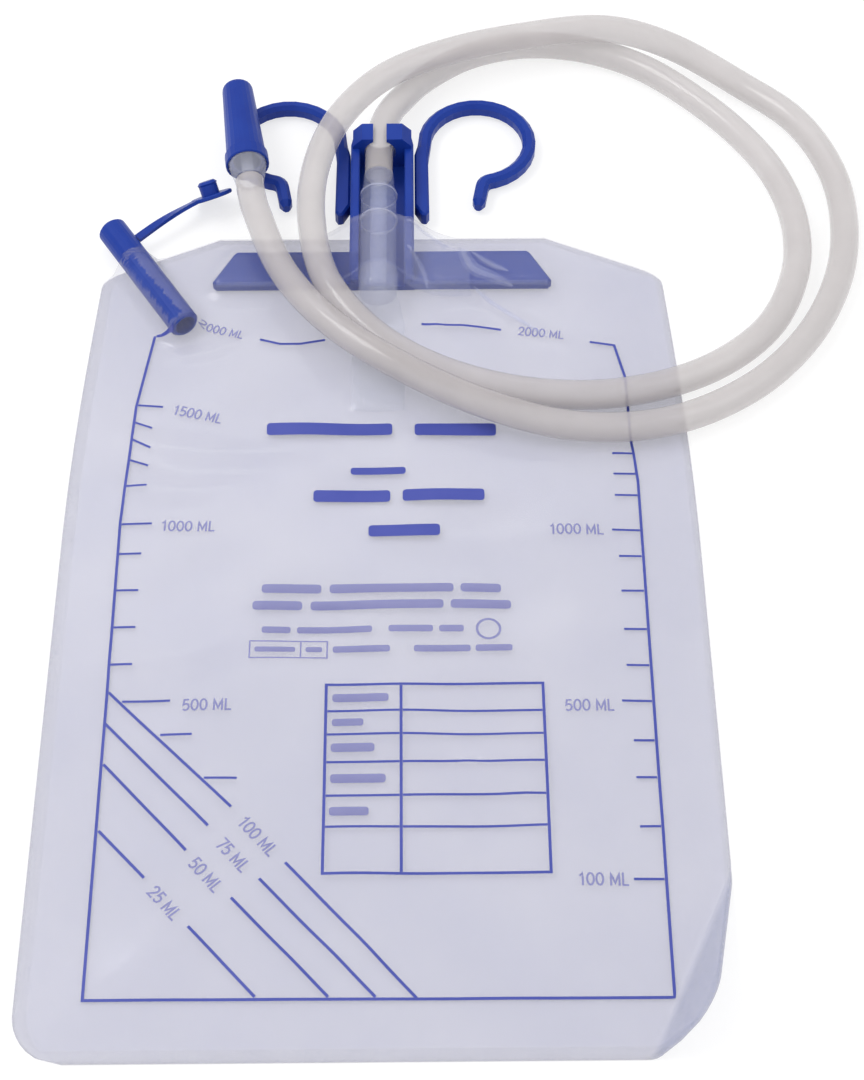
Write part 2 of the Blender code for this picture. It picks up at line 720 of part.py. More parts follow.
def build_inlet_connector(material):
    """The clear barrel in the channel, with two rings, a neck for the tube and a bore right through."""
    body = CONNECTOR_RADIUS
    neck = TUBE_RADIUS + CLEARANCE
    end = CONNECTOR_BARREL + CONNECTOR_NECK
    ring = CONNECTOR_BARREL - RING_FROM_NECK
    outer = [(body - RING_GROOVE, 0.0), (body, RING_GROOVE)]
    for place in (ring - 2 * RING_WIDTH, ring):
        outer += [
            (body, place),
            (body - RING_GROOVE, place + RING_GROOVE),
            (body - RING_GROOVE, place + RING_WIDTH - RING_GROOVE),
            (body, place + RING_WIDTH),
        ]
    outer += [(body, CONNECTOR_BARREL - RING_WIDTH), (neck + RING_GROOVE, CONNECTOR_BARREL), (neck, end)]
    bore = CONNECTOR_BORE / 2
    profile = outer + [(bore, end), (bore, 0.0)]
    connector = add_object("inlet_connector", *turned(profile, ROUND_SIDES, hollow=True), material)
    stand_along(connector, (CONNECTOR_OFFSET_X, CONNECTOR_Y, TUBE_AXIS_HEIGHT), (0, 1, 0))


def build_valve(material):
    """Two soft films welded at their sides: round where they grip the connector, flat at the mouth."""
    flat_from = CONNECTOR_Y - VALVE_COLLAPSE
    places = graded(
        (VALVE_Y, CONNECTOR_Y, 2 * COLLAPSE_STEP),
        (CONNECTOR_Y, flat_from, COLLAPSE_STEP),
        (flat_from, VALVE_END_Y, 2 * SIDE_STEP),
    )
    outside, inside = [], []
    for y in places:
        middle, half_wide, half_tall = valve_section(y)
        outer = circle(half_wide, 0.0, SLEEVE_SIDES, half_tall / half_wide)
        inner = circle(half_wide - FILM, 0.0, SLEEVE_SIDES, (half_tall - FILM) / (half_wide - FILM))
        outside.append([Vector((CONNECTOR_OFFSET_X + p.x, y, middle + p.y)) for p in outer])
        inside.append([Vector((CONNECTOR_OFFSET_X + p.x, y, middle + p.y)) for p in inner])
    add_object("valve_sleeve", *closed_loft(outside + inside[::-1]), material)


def build_tube(material):
    """The drainage tube: one hose along a smooth curve, from the inlet to the catheter connector."""
    start = Vector((CONNECTOR_OFFSET_X, CONNECTOR_END_Y + CLEARANCE, TUBE_AXIS_HEIGHT))
    span = TUBE_SPAN_STEPS
    fine = smooth_points([start, *TUBE_ROUTE], span)
    points = [fine[0], fine[span], fine[2 * span]]
    for here in fine[2 * span : -span - 1]:
        if (here - points[-1]).length >= TUBE_STEP:
            points.append(here)
    points += [fine[-span - 1], fine[-1]]
    curve = bpy.data.curves.new("drainage_tube", "CURVE")
    curve.dimensions = "3D"
    curve.bevel_depth = TUBE_RADIUS
    curve.bevel_resolution = 3
    curve.use_fill_caps = True
    spline = curve.splines.new("POLY")
    spline.points.add(len(points) - 1)
    for place, point in zip(spline.points, points):
        place.co = (*point, 1.0)
    curve.materials.append(material)
    tube = bpy.data.objects.new("drainage_tube", curve)
    bpy.context.scene.collection.objects.link(tube)
    return tube


def build_outlet_port(material):
    """The outlet: a short hose through the weld, open at both ends, with eased edges."""
    radius, bore, edge = PORT_RADIUS, PORT_BORE / 2, PORT_EDGE
    profile = [
        (radius - edge, 0.0),
        (radius, edge),
        (radius, PORT_LENGTH - edge),
        (radius - edge, PORT_LENGTH),
        (bore, PORT_LENGTH),
        (bore, 0.0),
    ]
    port = add_object("outlet_port", *turned(profile, ROUND_SIDES, hollow=True), material)
    stand_along(port, PORT_INNER, PORT_AXIS)


def strap(start, end, flat):
    """The cap's tie from the port to the flange's rim, turning to lie flat with the flange."""
    level = Vector((end.y - start.y, start.x - end.x, 0)).normalized()
    run = end - start
    rings = []
    for i in range(STRAP_STEPS + 1):
        t = i / STRAP_STEPS
        ease = t * t * (3 - 2 * t)
        here = start + run * t + Vector((0, 0, STRAP_RISE * math.sin(math.pi * t)))
        across = level.lerp(flat, ease).normalized() * STRAP_WIDTH / 2 * (1 + STRAP_FLARE * t**4)
        up = across.cross(run).normalized() * STRAP_THICKNESS / 2
        rings.append([here - across - up, here + across - up, here + across + up, here - across + up])
    return loft(rings)


def build_outlet_cap(material):
    """The outlet's cap, one moulding: strap, flange and the plug that fits the port's bore."""
    root = PORT_OUTER - PORT_AXIS * STRAP_FROM_MOUTH + PORT_SIDE * (PORT_RADIUS + CLEARANCE)
    centre = Vector((root.x + FLANGE_REACH_X, root.y + FLANGE_REACH_Y, FLANGE_HEIGHT))
    tilt = Vector(FLANGE_TILT).normalized()
    flange = FLANGE_DIAMETER / 2
    half = FLANGE_THICKNESS / 2
    plug = PORT_BORE / 2 - PLUG_CLEARANCE
    top = half + PLUG_LENGTH
    profile = [
        (flange - PLUG_BEAD, -half),
        (flange, -half + PLUG_BEAD),
        (flange, half - PLUG_BEAD),
        (flange - PLUG_BEAD, half),
        (plug - PLUG_BEAD, half),
        (plug - PLUG_BEAD, top - 5 * PLUG_BEAD),
        (plug, top - 3 * PLUG_BEAD),
        (plug - 3 * PLUG_BEAD, top),
    ]
    cap = add_object("outlet_cap", *turned(profile, ROUND_SIDES, hollow=False), material)
    cap.data.transform(Matrix.Translation(centre) @ tilt.to_track_quat("Z", "Y").to_matrix().to_4x4())
    to_root = root - centre
    in_plane = (to_root - tilt * to_root.dot(tilt)).normalized()
    rim = centre + in_plane * (flange - STRAP_WIDTH / 2)
    tie = strap(root, rim, tilt.cross(in_plane))
    unite(cap, add_object("strap_blank", *tie, material, helper=True))
    set_origin(cap, root + Vector((0, 0, STRAP_THICKNESS / 2)))


def build_catheter_connector(material):
    """The clear connector on the tube's end: a ribbed bell, a rim and a tapered nose, with a bore."""
    tail = TUBE_RADIUS + CLEARANCE
    bell, bore = BELL_DIAMETER / 2, NOSE_BORE / 2
    seat = BELL_LENGTH + BELL_RIM
    tip = seat + NOSE_LENGTH
    profile = [
        (tail, 0.0),
        (bell, BELL_LENGTH),
        (bell, seat),
        (NOSE_ROOT_DIAMETER / 2, seat),
        (NOSE_TIP_DIAMETER / 2, tip),
        (bore, tip),
        (bore, 0.0),
    ]
    connector = add_object("catheter_connector", *turned(profile, ROUND_SIDES, hollow=True), material)
    stand_along(connector, TAIL_END + TAIL_AXIS * CLEARANCE, TAIL_AXIS)


def build_connector_cap(material):
    """The pull-off cap: a thick mouth that seats on the nose, a slow taper and a rounded closed end."""
    depth = CAP_MOUTH_DEPTH
    start = CLEARANCE + BELL_LENGTH + BELL_RIM + CLEARANCE - depth
    mouth, end = CAP_MOUTH_DIAMETER / 2, CAP_END_DIAMETER / 2
    round_bell = BELL_DIAMETER / 2 + CLEARANCE
    seat = NOSE_ROOT_DIAMETER / 2 + CLEARANCE
    hollow_end = NOSE_TIP_DIAMETER / 2 + CLEARANCE
    hollow = CAP_LENGTH - CAP_WALL
    tip_depth = depth + NOSE_LENGTH + CLEARANCE
    outer = [
        (mouth - CAP_RIM_STEP / 2, 0.0),
        (mouth, CAP_RIM_STEP / 2),
        (mouth, CAP_RIM_LENGTH - CAP_RIM_STEP / 2),
        (mouth - CAP_RIM_STEP, CAP_RIM_LENGTH),
    ]
    outer += [
        (end - CAP_ROUNDING * (1 - math.cos(t)), CAP_LENGTH - CAP_ROUNDING * (1 - math.sin(t)))
        for t in (math.pi / 6 * i for i in range(4))
    ]
    inner = [
        (hollow_end - CAP_WALL, hollow),
        (hollow_end, hollow - CAP_WALL),
        (hollow_end, tip_depth),
        (seat, depth),
        (round_bell, depth),
        (round_bell, 0.0),
    ]
    profile = outer + inner
    rings = [circle(radius, height, ROUND_SIDES) for radius, height in profile]
    cap = add_object("connector_cap", *cup(rings, len(outer)), material)
    stand_along(cap, TAIL_END + TAIL_AXIS * start, TAIL_AXIS)


def main():
    clear_scene()
    blue = finish("blue_plastic", (0.025, 0.075, 0.36), 0.35)
    clear = finish("clear_plastic", (0.72, 0.74, 0.78), 0.12, transmission=0.85)
    film_finish = finish("vinyl_film", (0.62, 0.62, 0.70), 0.25, transmission=0.6)
    valve_finish = finish("valve_film", (0.62, 0.70, 0.86), 0.3, transmission=0.5)
    hose = finish("vinyl_tube", (0.72, 0.71, 0.70), 0.2, transmission=0.6)
    build_films(film_finish)
    build_hanger(blue)
    build_hook("left_hook", -1, blue)
    build_hook("right_hook", 1, blue)
    build_inlet_connector(clear)
    build_valve(valve_finish)
    build_tube(hose)
    build_outlet_port(blue)
    build_outlet_cap(blue)
    build_catheter_connector(clear)
    build_connector_cap(blue)


main()
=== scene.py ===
"""Looks of the urine drainage bag: soft films with their print, a hollow cloudy hose, glossy blue mouldings,
clear connectors, and the photo's light and camera."""

import math

import bpy
import numpy as np
from mathutils import Matrix, Vector
from mathutils.bvhtree import BVHTree


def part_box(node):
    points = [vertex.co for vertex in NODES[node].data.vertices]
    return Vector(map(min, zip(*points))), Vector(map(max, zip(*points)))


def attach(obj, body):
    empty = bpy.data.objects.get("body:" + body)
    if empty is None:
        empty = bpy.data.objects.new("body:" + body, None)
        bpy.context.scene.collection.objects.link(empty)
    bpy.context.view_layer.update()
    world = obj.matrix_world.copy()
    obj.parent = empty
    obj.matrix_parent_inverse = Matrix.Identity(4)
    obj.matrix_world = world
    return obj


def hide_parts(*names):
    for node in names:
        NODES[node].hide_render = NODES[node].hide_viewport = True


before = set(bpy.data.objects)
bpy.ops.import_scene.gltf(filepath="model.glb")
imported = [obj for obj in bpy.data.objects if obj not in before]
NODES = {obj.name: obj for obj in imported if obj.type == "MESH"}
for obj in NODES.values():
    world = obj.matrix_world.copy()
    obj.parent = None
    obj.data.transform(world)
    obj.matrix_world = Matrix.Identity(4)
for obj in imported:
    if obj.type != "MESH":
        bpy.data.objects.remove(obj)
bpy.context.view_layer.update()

SCENE = bpy.context.scene
MM_PER_M = 1000

# Sizes shared with the solid parts, in metres
BAG_LENGTH = 0.306
BAG_WIDTH = 0.205
SHOULDER_WIDTH = 0.195
TOP_EDGE_WIDTH = 0.115
SHOULDER_DROP = 0.018
TAPER_LENGTH = 0.115
FOOT_CORNER_RADIUS = 0.015
FILM = 0.0003
FILM_PAIR = 0.0006
WELD_WIDTH = 0.005
CURL_RADIUS = 0.0035
CURL_TURN = math.radians(61.0)
CURL_FROM_FOOT = 0.0600
CURL_FROM_SIDE = 0.0280
TOP_EDGE_Y = BAG_LENGTH / 2
FOOT_Y = -BAG_LENGTH / 2
SHOULDER_Y = TOP_EDGE_Y - SHOULDER_DROP
CREASE_SIDE = Vector((BAG_WIDTH / 2, FOOT_Y + CURL_FROM_FOOT))
CREASE = (Vector((BAG_WIDTH / 2 - CURL_FROM_SIDE, FOOT_Y)) - CREASE_SIDE).normalized()
CREASE_OUTWARD = Vector((-CREASE.y, CREASE.x))
TUBE_RADIUS = 0.0050
TUBE_START = (-0.0012, 0.1748, 0.00975)
PORT_LEAN = math.radians(32.5)
PORT_AXIS = Vector((-math.sin(PORT_LEAN), math.cos(PORT_LEAN)))
PORT_SIDE = Vector((PORT_AXIS.y, -PORT_AXIS.x))
PORT_MIDDLE = Vector((-0.0812, 0.1314))
TUBE_ROUTE = (
    (-0.0011, 0.1880, 0.00975),
    (-0.0004, 0.1968, 0.0096),
    (0.0020, 0.2062, 0.0088),
    (0.0066, 0.2154, 0.0076),
    (0.0160, 0.2290, 0.0055),
    (0.0325, 0.2414, 0.0050),
    (0.0530, 0.2469, 0.0050),
    (0.0750, 0.2446, 0.0050),
    (0.0954, 0.2354, 0.0050),
    (0.1130, 0.2200, 0.0050),
    (0.1290, 0.2008, 0.0050),
    (0.1406, 0.1796, 0.0050),
    (0.1459, 0.1555, 0.0050),
    (0.1434, 0.1306, 0.0050),
    (0.1314, 0.1060, 0.0054),
    (0.1090, 0.0872, 0.0064),
    (0.0800, 0.0776, 0.0069),
    (0.0500, 0.0779, 0.0071),
    (0.0220, 0.0862, 0.0076),
    (-0.0010, 0.0995, 0.0106),
    (-0.0179, 0.1199, 0.0143),
    (-0.0242, 0.1470, 0.0134),
    (-0.0238, 0.1740, 0.0134),
    (-0.0158, 0.1986, 0.0146),
    (0.0006, 0.2176, 0.0170),
    (0.0240, 0.2312, 0.0165),
    (0.0520, 0.2404, 0.0155),
    (0.0820, 0.2442, 0.0155),
    (0.1070, 0.2394, 0.0112),
    (0.1330, 0.2240, 0.0057),
    (0.1514, 0.2058, 0.0050),
    (0.1616, 0.1810, 0.0050),
    (0.1634, 0.1550, 0.0050),
    (0.1584, 0.1290, 0.0050),
    (0.1452, 0.1028, 0.0051),
    (0.1240, 0.0806, 0.0054),
    (0.0956, 0.0658, 0.0065),
    (0.0640, 0.0634, 0.0073),
    (0.0330, 0.0712, 0.0104),
    (0.0044, 0.0854, 0.0140),
    (-0.0180, 0.1038, 0.0146),
    (-0.0340, 0.1270, 0.0136),
    (-0.0434, 0.1526, 0.0139),
    (-0.0459, 0.16245, 0.0143),
    (-0.0467, 0.1684, 0.0143),
)

# Sizes of the looks alone, in metres
SHOULDER_ROUNDING = 0.0085
# Where the curled corner's painted shade starts and where it is full, in metres beyond the crease
CORNER_SHADE_BLEND_START = 0.0004
CORNER_SHADE_BLEND_END = 0.0030
HOSE_BORE_RADIUS = 0.0033
# How finely the hose is drawn: sides round it, and steps between two points of its route
HOSE_SIDES = 28
HOSE_SPAN_STEPS = 9


def linear(red, green, blue):
    """A colour given as it shows on screen, 0 to 255, as linear values by the sRGB formula."""
    made = []
    for value in (red, green, blue):
        share = value / 255
        made.append(share / 12.92 if share <= 0.04045 else ((share + 0.055) / 1.055) ** 2.4)
    return (*made, 1.0)


# Materials

# Sockets of a colour Mix node, whose names the node also gives to its sockets of other kinds
MIX_FIRST, MIX_SECOND, MIX_RESULT = 6, 7, 2
# Where a material's noise turns from its second colour to its first
TINT_START = 0.32
TINT_END = 0.68
TINT_DETAIL = 3.0
# The fine noise, the shares of a material's roughness that it varies between, and its relief
GRAIN = 900.0
GRAIN_DETAIL = 2.0
SMOOTHEST = 0.85
ROUGHEST = 1.2
RELIEF_DEPTH = 0.0005


def painted_shade_beyond_crease(tree, place, colour, corner_shade):
    """The colour socket's value, changed beyond the pouch's crease to the curled corner's painted shade,
    darker and bluer than the film.
    """
    crease = CREASE_SIDE.dot(CREASE_OUTWARD)
    across = tree.nodes.new("ShaderNodeVectorMath")
    across.operation = "DOT_PRODUCT"
    across.inputs[1].default_value = (*CREASE_OUTWARD, 0.0)
    tree.links.new(place.outputs["Object"], across.inputs[0])
    share = tree.nodes.new("ShaderNodeMapRange")
    share.inputs["From Min"].default_value = crease + CORNER_SHADE_BLEND_START
    share.inputs["From Max"].default_value = crease + CORNER_SHADE_BLEND_END
    tree.links.new(across.outputs["Value"], share.inputs["Value"])
    blend = tree.nodes.new("ShaderNodeMix")
    blend.data_type = "RGBA"
    blend.inputs[MIX_SECOND].default_value = corner_shade
    tree.links.new(share.outputs["Result"], blend.inputs["Factor"])
    tree.links.new(colour, blend.inputs[MIX_FIRST])
    return blend.outputs[MIX_RESULT]


def noise(tree, place, scale, detail):
    """A noise over the object's own coordinates."""
    made = tree.nodes.new("ShaderNodeTexNoise")
    made.inputs["Scale"].default_value = scale
    made.inputs["Detail"].default_value = detail
    tree.links.new(place.outputs["Object"], made.inputs["Vector"])
    return made


def material(name, colour, roughness, second=None, patch=0.02, bump=0.02, corner_shade=None, **sockets):
    """A Principled material whose colour, roughness and surface vary with noise, and which may take a
    painted shade beyond the curled corner's crease: patch is in metres.
    """
    made = bpy.data.materials.new(name)
    made.use_nodes = True
    tree = made.node_tree
    shader = tree.nodes["Principled BSDF"]
    place = tree.nodes.new("ShaderNodeTexCoord")
    broad = noise(tree, place, 1 / patch, TINT_DETAIL)
    tint = tree.nodes.new("ShaderNodeValToRGB")
    start, end = tint.color_ramp.elements
    start.position, end.position = TINT_START, TINT_END
    start.color, end.color = second or colour, colour
    tree.links.new(broad.outputs["Fac"], tint.inputs["Fac"])
    shown = tint.outputs["Color"]
    # Beyond the crease the curled corner takes its painted shade
    if corner_shade:
        shown = painted_shade_beyond_crease(tree, place, shown, corner_shade)
    tree.links.new(shown, shader.inputs["Base Color"])
    fine = noise(tree, place, GRAIN, GRAIN_DETAIL)
    gloss = tree.nodes.new("ShaderNodeMapRange")
    gloss.inputs["To Min"].default_value = roughness * SMOOTHEST
    gloss.inputs["To Max"].default_value = roughness * ROUGHEST
    tree.links.new(fine.outputs["Fac"], gloss.inputs["Value"])
    tree.links.new(gloss.outputs["Result"], shader.inputs["Roughness"])
    relief = tree.nodes.new("ShaderNodeBump")
    relief.inputs["Strength"].default_value = bump
    relief.inputs["Distance"].default_value = RELIEF_DEPTH
    tree.links.new(fine.outputs["Fac"], relief.inputs["Height"])
    tree.links.new(relief.outputs["Normal"], shader.inputs["Normal"])
    for socket, value in sockets.items():
        shader.inputs[socket.replace("_", " ")].default_value = value
    return made


# See-through faces show little of their gloss, so a film's is set higher than a solid's
FILM_GLOSS = {"IOR": 1.9, "Specular_IOR_Level": 0.85}
# Painted shade of the curled corner, beyond its crease: darker, bluer colours for the film where it turns up
FRONT_CORNER_PAINTED_SHADE = linear(150, 156, 200)
BACK_CORNER_PAINTED_SHADE = linear(104, 112, 168)
BLUE = material(
    "blue_moulding", linear(26, 62, 158), 0.36, linear(22, 54, 148), bump=0.03, Specular_IOR_Level=0.22
)
# The films and their welds take the curled corner's painted shade beyond its crease
FRONT_FILM = material(
    "front_film", linear(204, 204, 225), 0.2, linear(190, 191, 220), patch=0.035, bump=0.005,
    corner_shade=FRONT_CORNER_PAINTED_SHADE, Alpha=0.10, **FILM_GLOSS
)
FRONT_WELD = material(
    "front_weld", linear(200, 200, 220), 0.26, linear(194, 194, 216), patch=0.01, bump=0.01,
    corner_shade=FRONT_CORNER_PAINTED_SHADE, Alpha=0.13, **FILM_GLOSS
)
WET_FILM = material("wet_film", linear(150, 168, 222), 0.3, linear(140, 158, 216), patch=0.01, Alpha=0.03)
BACK_FILM = material(
    "back_film", linear(184, 184, 210), 0.22, linear(172, 173, 204), patch=0.04,
    corner_shade=BACK_CORNER_PAINTED_SHADE, Alpha=0.31
)
BACK_WELD = material(
    "back_weld", linear(184, 184, 205), 0.26, linear(178, 178, 201), patch=0.01,
    corner_shade=BACK_CORNER_PAINTED_SHADE, Alpha=0.33
)
# Pleats: strips of doubled film, lighter than the film as painted highlights along their creases
FOLD_HIGHLIGHT = material("film_fold_highlight", linear(206, 210, 236), 0.14, linear(186, 192, 230), patch=0.004, Alpha=0.24)
# Doubled film; the same look gives the painted sheen at the pleats' edges and along the bar's lower side
DOUBLED_FILM_AND_SHEEN = material(
    "doubled_film", linear(196, 201, 234), 0.2, linear(182, 188, 228), patch=0.008, Alpha=0.16
)
INK = material("ink", linear(72, 82, 172), 0.5, linear(62, 74, 166))
FAINT_INK = material("faint_ink", linear(100, 102, 180), 0.5, linear(92, 94, 174), Alpha=0.62)
HOSE = material("hose", linear(214, 208, 208), 0.16, linear(206, 200, 200), Alpha=0.50, Coat_Weight=0.4)
BORE = material("hose_bore", linear(226, 221, 221), 0.3, Alpha=0.10)
CLEAR = material("clear_connector", linear(214, 220, 246), 0.16, Alpha=0.17, Coat_Weight=0.5)
CLEAR_END = material("clear_tube_end", linear(230, 233, 248), 0.12, Alpha=0.26, Coat_Weight=0.6)
RING = material("connector_ring", linear(214, 218, 242), 0.2, Alpha=0.30)
SLEEVE = material("valve_film", linear(240, 244, 255), 0.26, linear(232, 238, 255), Alpha=0.08)
FRONT_LOOKS = (FRONT_FILM, FRONT_WELD, WET_FILM)
BACK_LOOKS = (BACK_FILM, BACK_WELD)
SOLID_LOOKS = {
    "hanger": BLUE,
    "left_hook": BLUE,
    "right_hook": BLUE,
    "outlet_port": BLUE,
    "outlet_cap": BLUE,
    "connector_cap": BLUE,
    "inlet_connector": CLEAR,
    "catheter_connector": CLEAR_END,
    "valve_sleeve": SLEEVE,
}


def dress_solids():
    """Gives each solid node that stays in view its look."""
    for name, look in SOLID_LOOKS.items():
        materials = NODES[name].data.materials
        materials.clear()
        materials.append(look)


# Meshes


def add_mesh(name, vertices, faces, look):
    """A smooth mesh that rides on the bag."""
    mesh = bpy.data.meshes.new(name)
    mesh.from_pydata([tuple(v) for v in vertices], [], faces)
    mesh.materials.append(look)
    mesh.shade_smooth()
    made = bpy.data.objects.new(name, mesh)
    SCENE.collection.objects.link(made)
    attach(made, "root")
    return made


def joined(pieces):
    """Vertices and faces of several pieces as those of one."""
    vertices, faces = [], []
    for points, sides in pieces:
        base = len(vertices)
        vertices += points
        faces += [tuple(base + i for i in side) for side in sides]
    return vertices, faces


def turns(count):
    """The angles of a circle's points."""
    return [2 * math.pi * k / count for k in range(count)]


def smooth_points(route, per_span):
    """Points of one smooth curve (Catmull-Rom) through a route's points."""
    points = [Vector(p) for p in route]
    ends = [2 * points[0] - points[1], *points, 2 * points[-1] - points[-2]]
    made = []
    for before, start, end, after in zip(ends, ends[1:], ends[2:], ends[3:]):
        for step in range(per_span):
            t = step / per_span
            made.append(
                0.5
                * (
                    2 * start
                    + (end - before) * t
                    + (2 * before - 5 * start + 4 * end - after) * t**2
                    + (3 * start - before - 3 * end + after) * t**3
                )
            )
    made.append(points[-1])
    return made


def closed_rings(rings):
    """Vertices and faces of rings of points, each joined to the next and the last to the first."""
    count = len(rings[0])
    vertices = [v for ring in rings for v in ring]
    faces = []
    for step in range(len(rings)):
        low = step * count
        high = (step + 1) % len(rings) * count
        for i in range(count):
            following = (i + 1) % count
            faces.append((low + i, high + i, high + following, low + following))
    return vertices, faces


# Hose


def hose_path():
    """The points along the middle of the hose."""
    return smooth_points([TUBE_START, *TUBE_ROUTE], HOSE_SPAN_STEPS)


def swept_rings(path, radius):
    """Rings of points round the hose's path, without twist."""
    along = (path[1] - path[0]).normalized()
    side = along.cross(Vector((0, 0, 1))).normalized()
    rings = []
    for i, here in enumerate(path):
        following = path[min(i + 1, len(path) - 1)]
        along = (following - path[max(i - 1, 0)]).normalized()
        side = (side - along * side.dot(along)).normalized()
        up = side.cross(along)
        rings.append([here + radius * (math.cos(t) * side + math.sin(t) * up) for t in turns(HOSE_SIDES)])
    return rings


def build_hose():
    """The hollow hose, its outside and its bore each with its own look."""
    path = hose_path()
    outer = swept_rings(path, TUBE_RADIUS)
    inner = swept_rings(path, HOSE_BORE_RADIUS)
    hose = add_mesh("hose", *closed_rings(outer + inner[::-1]), HOSE)
    hose.data.materials.append(BORE)
    for face in hose.data.polygons:
        face.material_index = int(face.index // HOSE_SIDES >= len(path))
    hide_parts("drainage_tube")


# Films


def half_width(y):
    """Half the pouch's width, with the shoulders' corners rounded off."""
    slope = (SHOULDER_WIDTH - TOP_EDGE_WIDTH) / 2 / SHOULDER_DROP
    shoulder = SHOULDER_WIDTH / 2 - (y - SHOULDER_Y) * slope
    rise = FOOT_CORNER_RADIUS - (y - FOOT_Y)
    if rise > 0:
        return BAG_WIDTH / 2 - FOOT_CORNER_RADIUS + math.sqrt(max(0.0, FOOT_CORNER_RADIUS**2 - rise**2))
    share = min(1.0, max(0.0, (SHOULDER_Y - y) / TAPER_LENGTH))
    side = (SHOULDER_WIDTH + (BAG_WIDTH - SHOULDER_WIDTH) * math.sin(share * math.pi / 2)) / 2
    gap = max(SHOULDER_ROUNDING - abs(side - shoulder), 0.0) / SHOULDER_ROUNDING
    return min(side, shoulder) - gap**2 * SHOULDER_ROUNDING / 4


def edge_distance(x, y):
    """How far a place of the pouch lies inside its outline."""
    chamfer_x = (SHOULDER_WIDTH - TOP_EDGE_WIDTH) / 2
    reach = math.hypot(chamfer_x, SHOULDER_DROP)
    shoulder = ((TOP_EDGE_WIDTH / 2 - abs(x)) * SHOULDER_DROP + (TOP_EDGE_Y - y) * chamfer_x) / reach
    side = (BAG_WIDTH / 2 if y > SHOULDER_Y else half_width(y)) - abs(x)
    return min(side, y - FOOT_Y, TOP_EDGE_Y - y, shoulder)


def curled(point):
    """Bends the pouch's right foot corner up, beyond a crease from its side to its foot."""
    beyond = (point.xy - CREASE_SIDE).dot(CREASE_OUTWARD)
    if beyond <= 0:
        return point
    turn = min(beyond / CURL_RADIUS, CURL_TURN)
    straight = beyond - CURL_RADIUS * turn
    bent = CURL_RADIUS - point.z
    reach = bent * math.sin(turn) + straight * math.cos(turn)
    flat = point.xy + CREASE_OUTWARD * (reach - beyond)
    return Vector((flat.x, flat.y, CURL_RADIUS - bent * math.cos(turn) + straight * math.sin(turn)))


# The grid of heights that the front film is draped on, in metres
GRID = 0.001
GRID_X = np.arange(-BAG_WIDTH / 2, BAG_WIDTH / 2 + GRID / 2, GRID)
GRID_Y = np.arange(FOOT_Y, TOP_EDGE_Y + GRID / 2, GRID)
INNER_PIECES = ("hanger", "inlet_connector", "valve_sleeve", "outlet_port")
# Rays look down at the inner pieces from this height
ABOVE_ALL = 0.1
# Room between the film and what it lies on or under, and the least room left between those two
SKIN_GAP = 0.0002
LEAST_ROOM = 0.00005


def obstacle_heights():
    """The height of the pieces inside the pouch at every place of the grid."""
    heights = np.full((len(GRID_Y), len(GRID_X)), FILM_PAIR)
    down = Vector((0, 0, -1))
    for name in INNER_PIECES:
        tree = BVHTree.FromObject(NODES[name], bpy.context.evaluated_depsgraph_get())
        low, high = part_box(name)
        for row, y in enumerate(GRID_Y):
            if y < low.y - GRID or y > high.y + GRID:
                continue
            for column, x in enumerate(GRID_X):
                if x < low.x - GRID or x > high.x + GRID:
                    continue
                hit = tree.ray_cast(Vector((x, y, ABOVE_ALL)), down)[0]
                if hit is not None:
                    heights[row, column] = max(heights[row, column], hit.z + SKIN_GAP)
    return heights


def ceiling_heights(path):
    """The underside of the hose above every place of the grid."""
    heights = np.full((len(GRID_Y), len(GRID_X)), np.inf)
    grid_x, grid_y = np.meshgrid(GRID_X, GRID_Y)
    for p in path:
        if p.y > TOP_EDGE_Y + 2 * TUBE_RADIUS:
            continue
        away = np.hypot(grid_x - p.x, grid_y - p.y)
        near = away < TUBE_RADIUS
        lowest = p.z - np.sqrt(np.maximum(0.0, TUBE_RADIUS**2 - away**2)) - FILM - SKIN_GAP
        heights = np.where(near, np.minimum(heights, lowest), heights)
    return heights


# Wrinkles of the front film: points, height and half width, in millimetres
WRINKLES = (
    (((19.3, 145.6), (28.7, 143.4), (31.8, 138.8), (36.3, 133.6), (43.1, 129.6)), 0.6, 2.2),
    (((29.6, 151.0), (28.9, 137.0), (29.8, 125.0)), 0.4, 2.0),
    (((24.0, 131.0), (36.0, 121.9), (48.9, 113.0), (62.0, 103.0)), 0.6, 2.4),
    (((14.0, 128.0), (16.0, 118.0), (22.0, 104.0)), 0.7, 2.4),
    (((-73.0, 98.0), (-60.0, 100.0), (-47.0, 107.5)), 0.9, 2.6),
    (((-86.0, 67.0), (-70.0, 60.5), (-50.0, 57.0), (-24.0, 58.0)), 0.9, 4.5),
    (((-90.0, 46.0), (-64.0, 42.0), (-40.0, 46.0)), 0.7, 5.0),
    (((66.0, 64.0), (78.0, 57.0), (92.0, 52.0)), 0.8, 4.0),
    (((22.0, -58.0), (33.0, -64.0), (44.0, -70.5)), 0.9, 2.2),
    (((-8.0, 26.0), (24.0, 20.0), (60.0, 27.0)), 0.5, 6.0),
    (((-94.0, -20.0), (-70.0, -24.0), (-40.0, -14.0)), 0.6, 6.0),
    (((50.0, -104.0), (74.0, -92.0), (92.0, -70.0)), 0.7, 6.0),
    (((-60.0, -118.0), (-20.0, -122.0), (20.0, -112.0)), 0.5, 6.5),
)
WRINKLE_SPAN_STEPS = 16
# A wrinkle keeps a little height at its ends, and its crest is flatter than a sine's
WRINKLE_END = 0.06
WRINKLE_CREST = 0.7
# Waves all over the front film: height, then for each of two ripples its radians per metre in x and y
# and its shift in radians
WAVES = (
    (1.0, ((88, 51, 0.7), (-33, 71, 2.1))),
    (0.5, ((150, -61, 4.0), (47, 118, 0.0))),
)


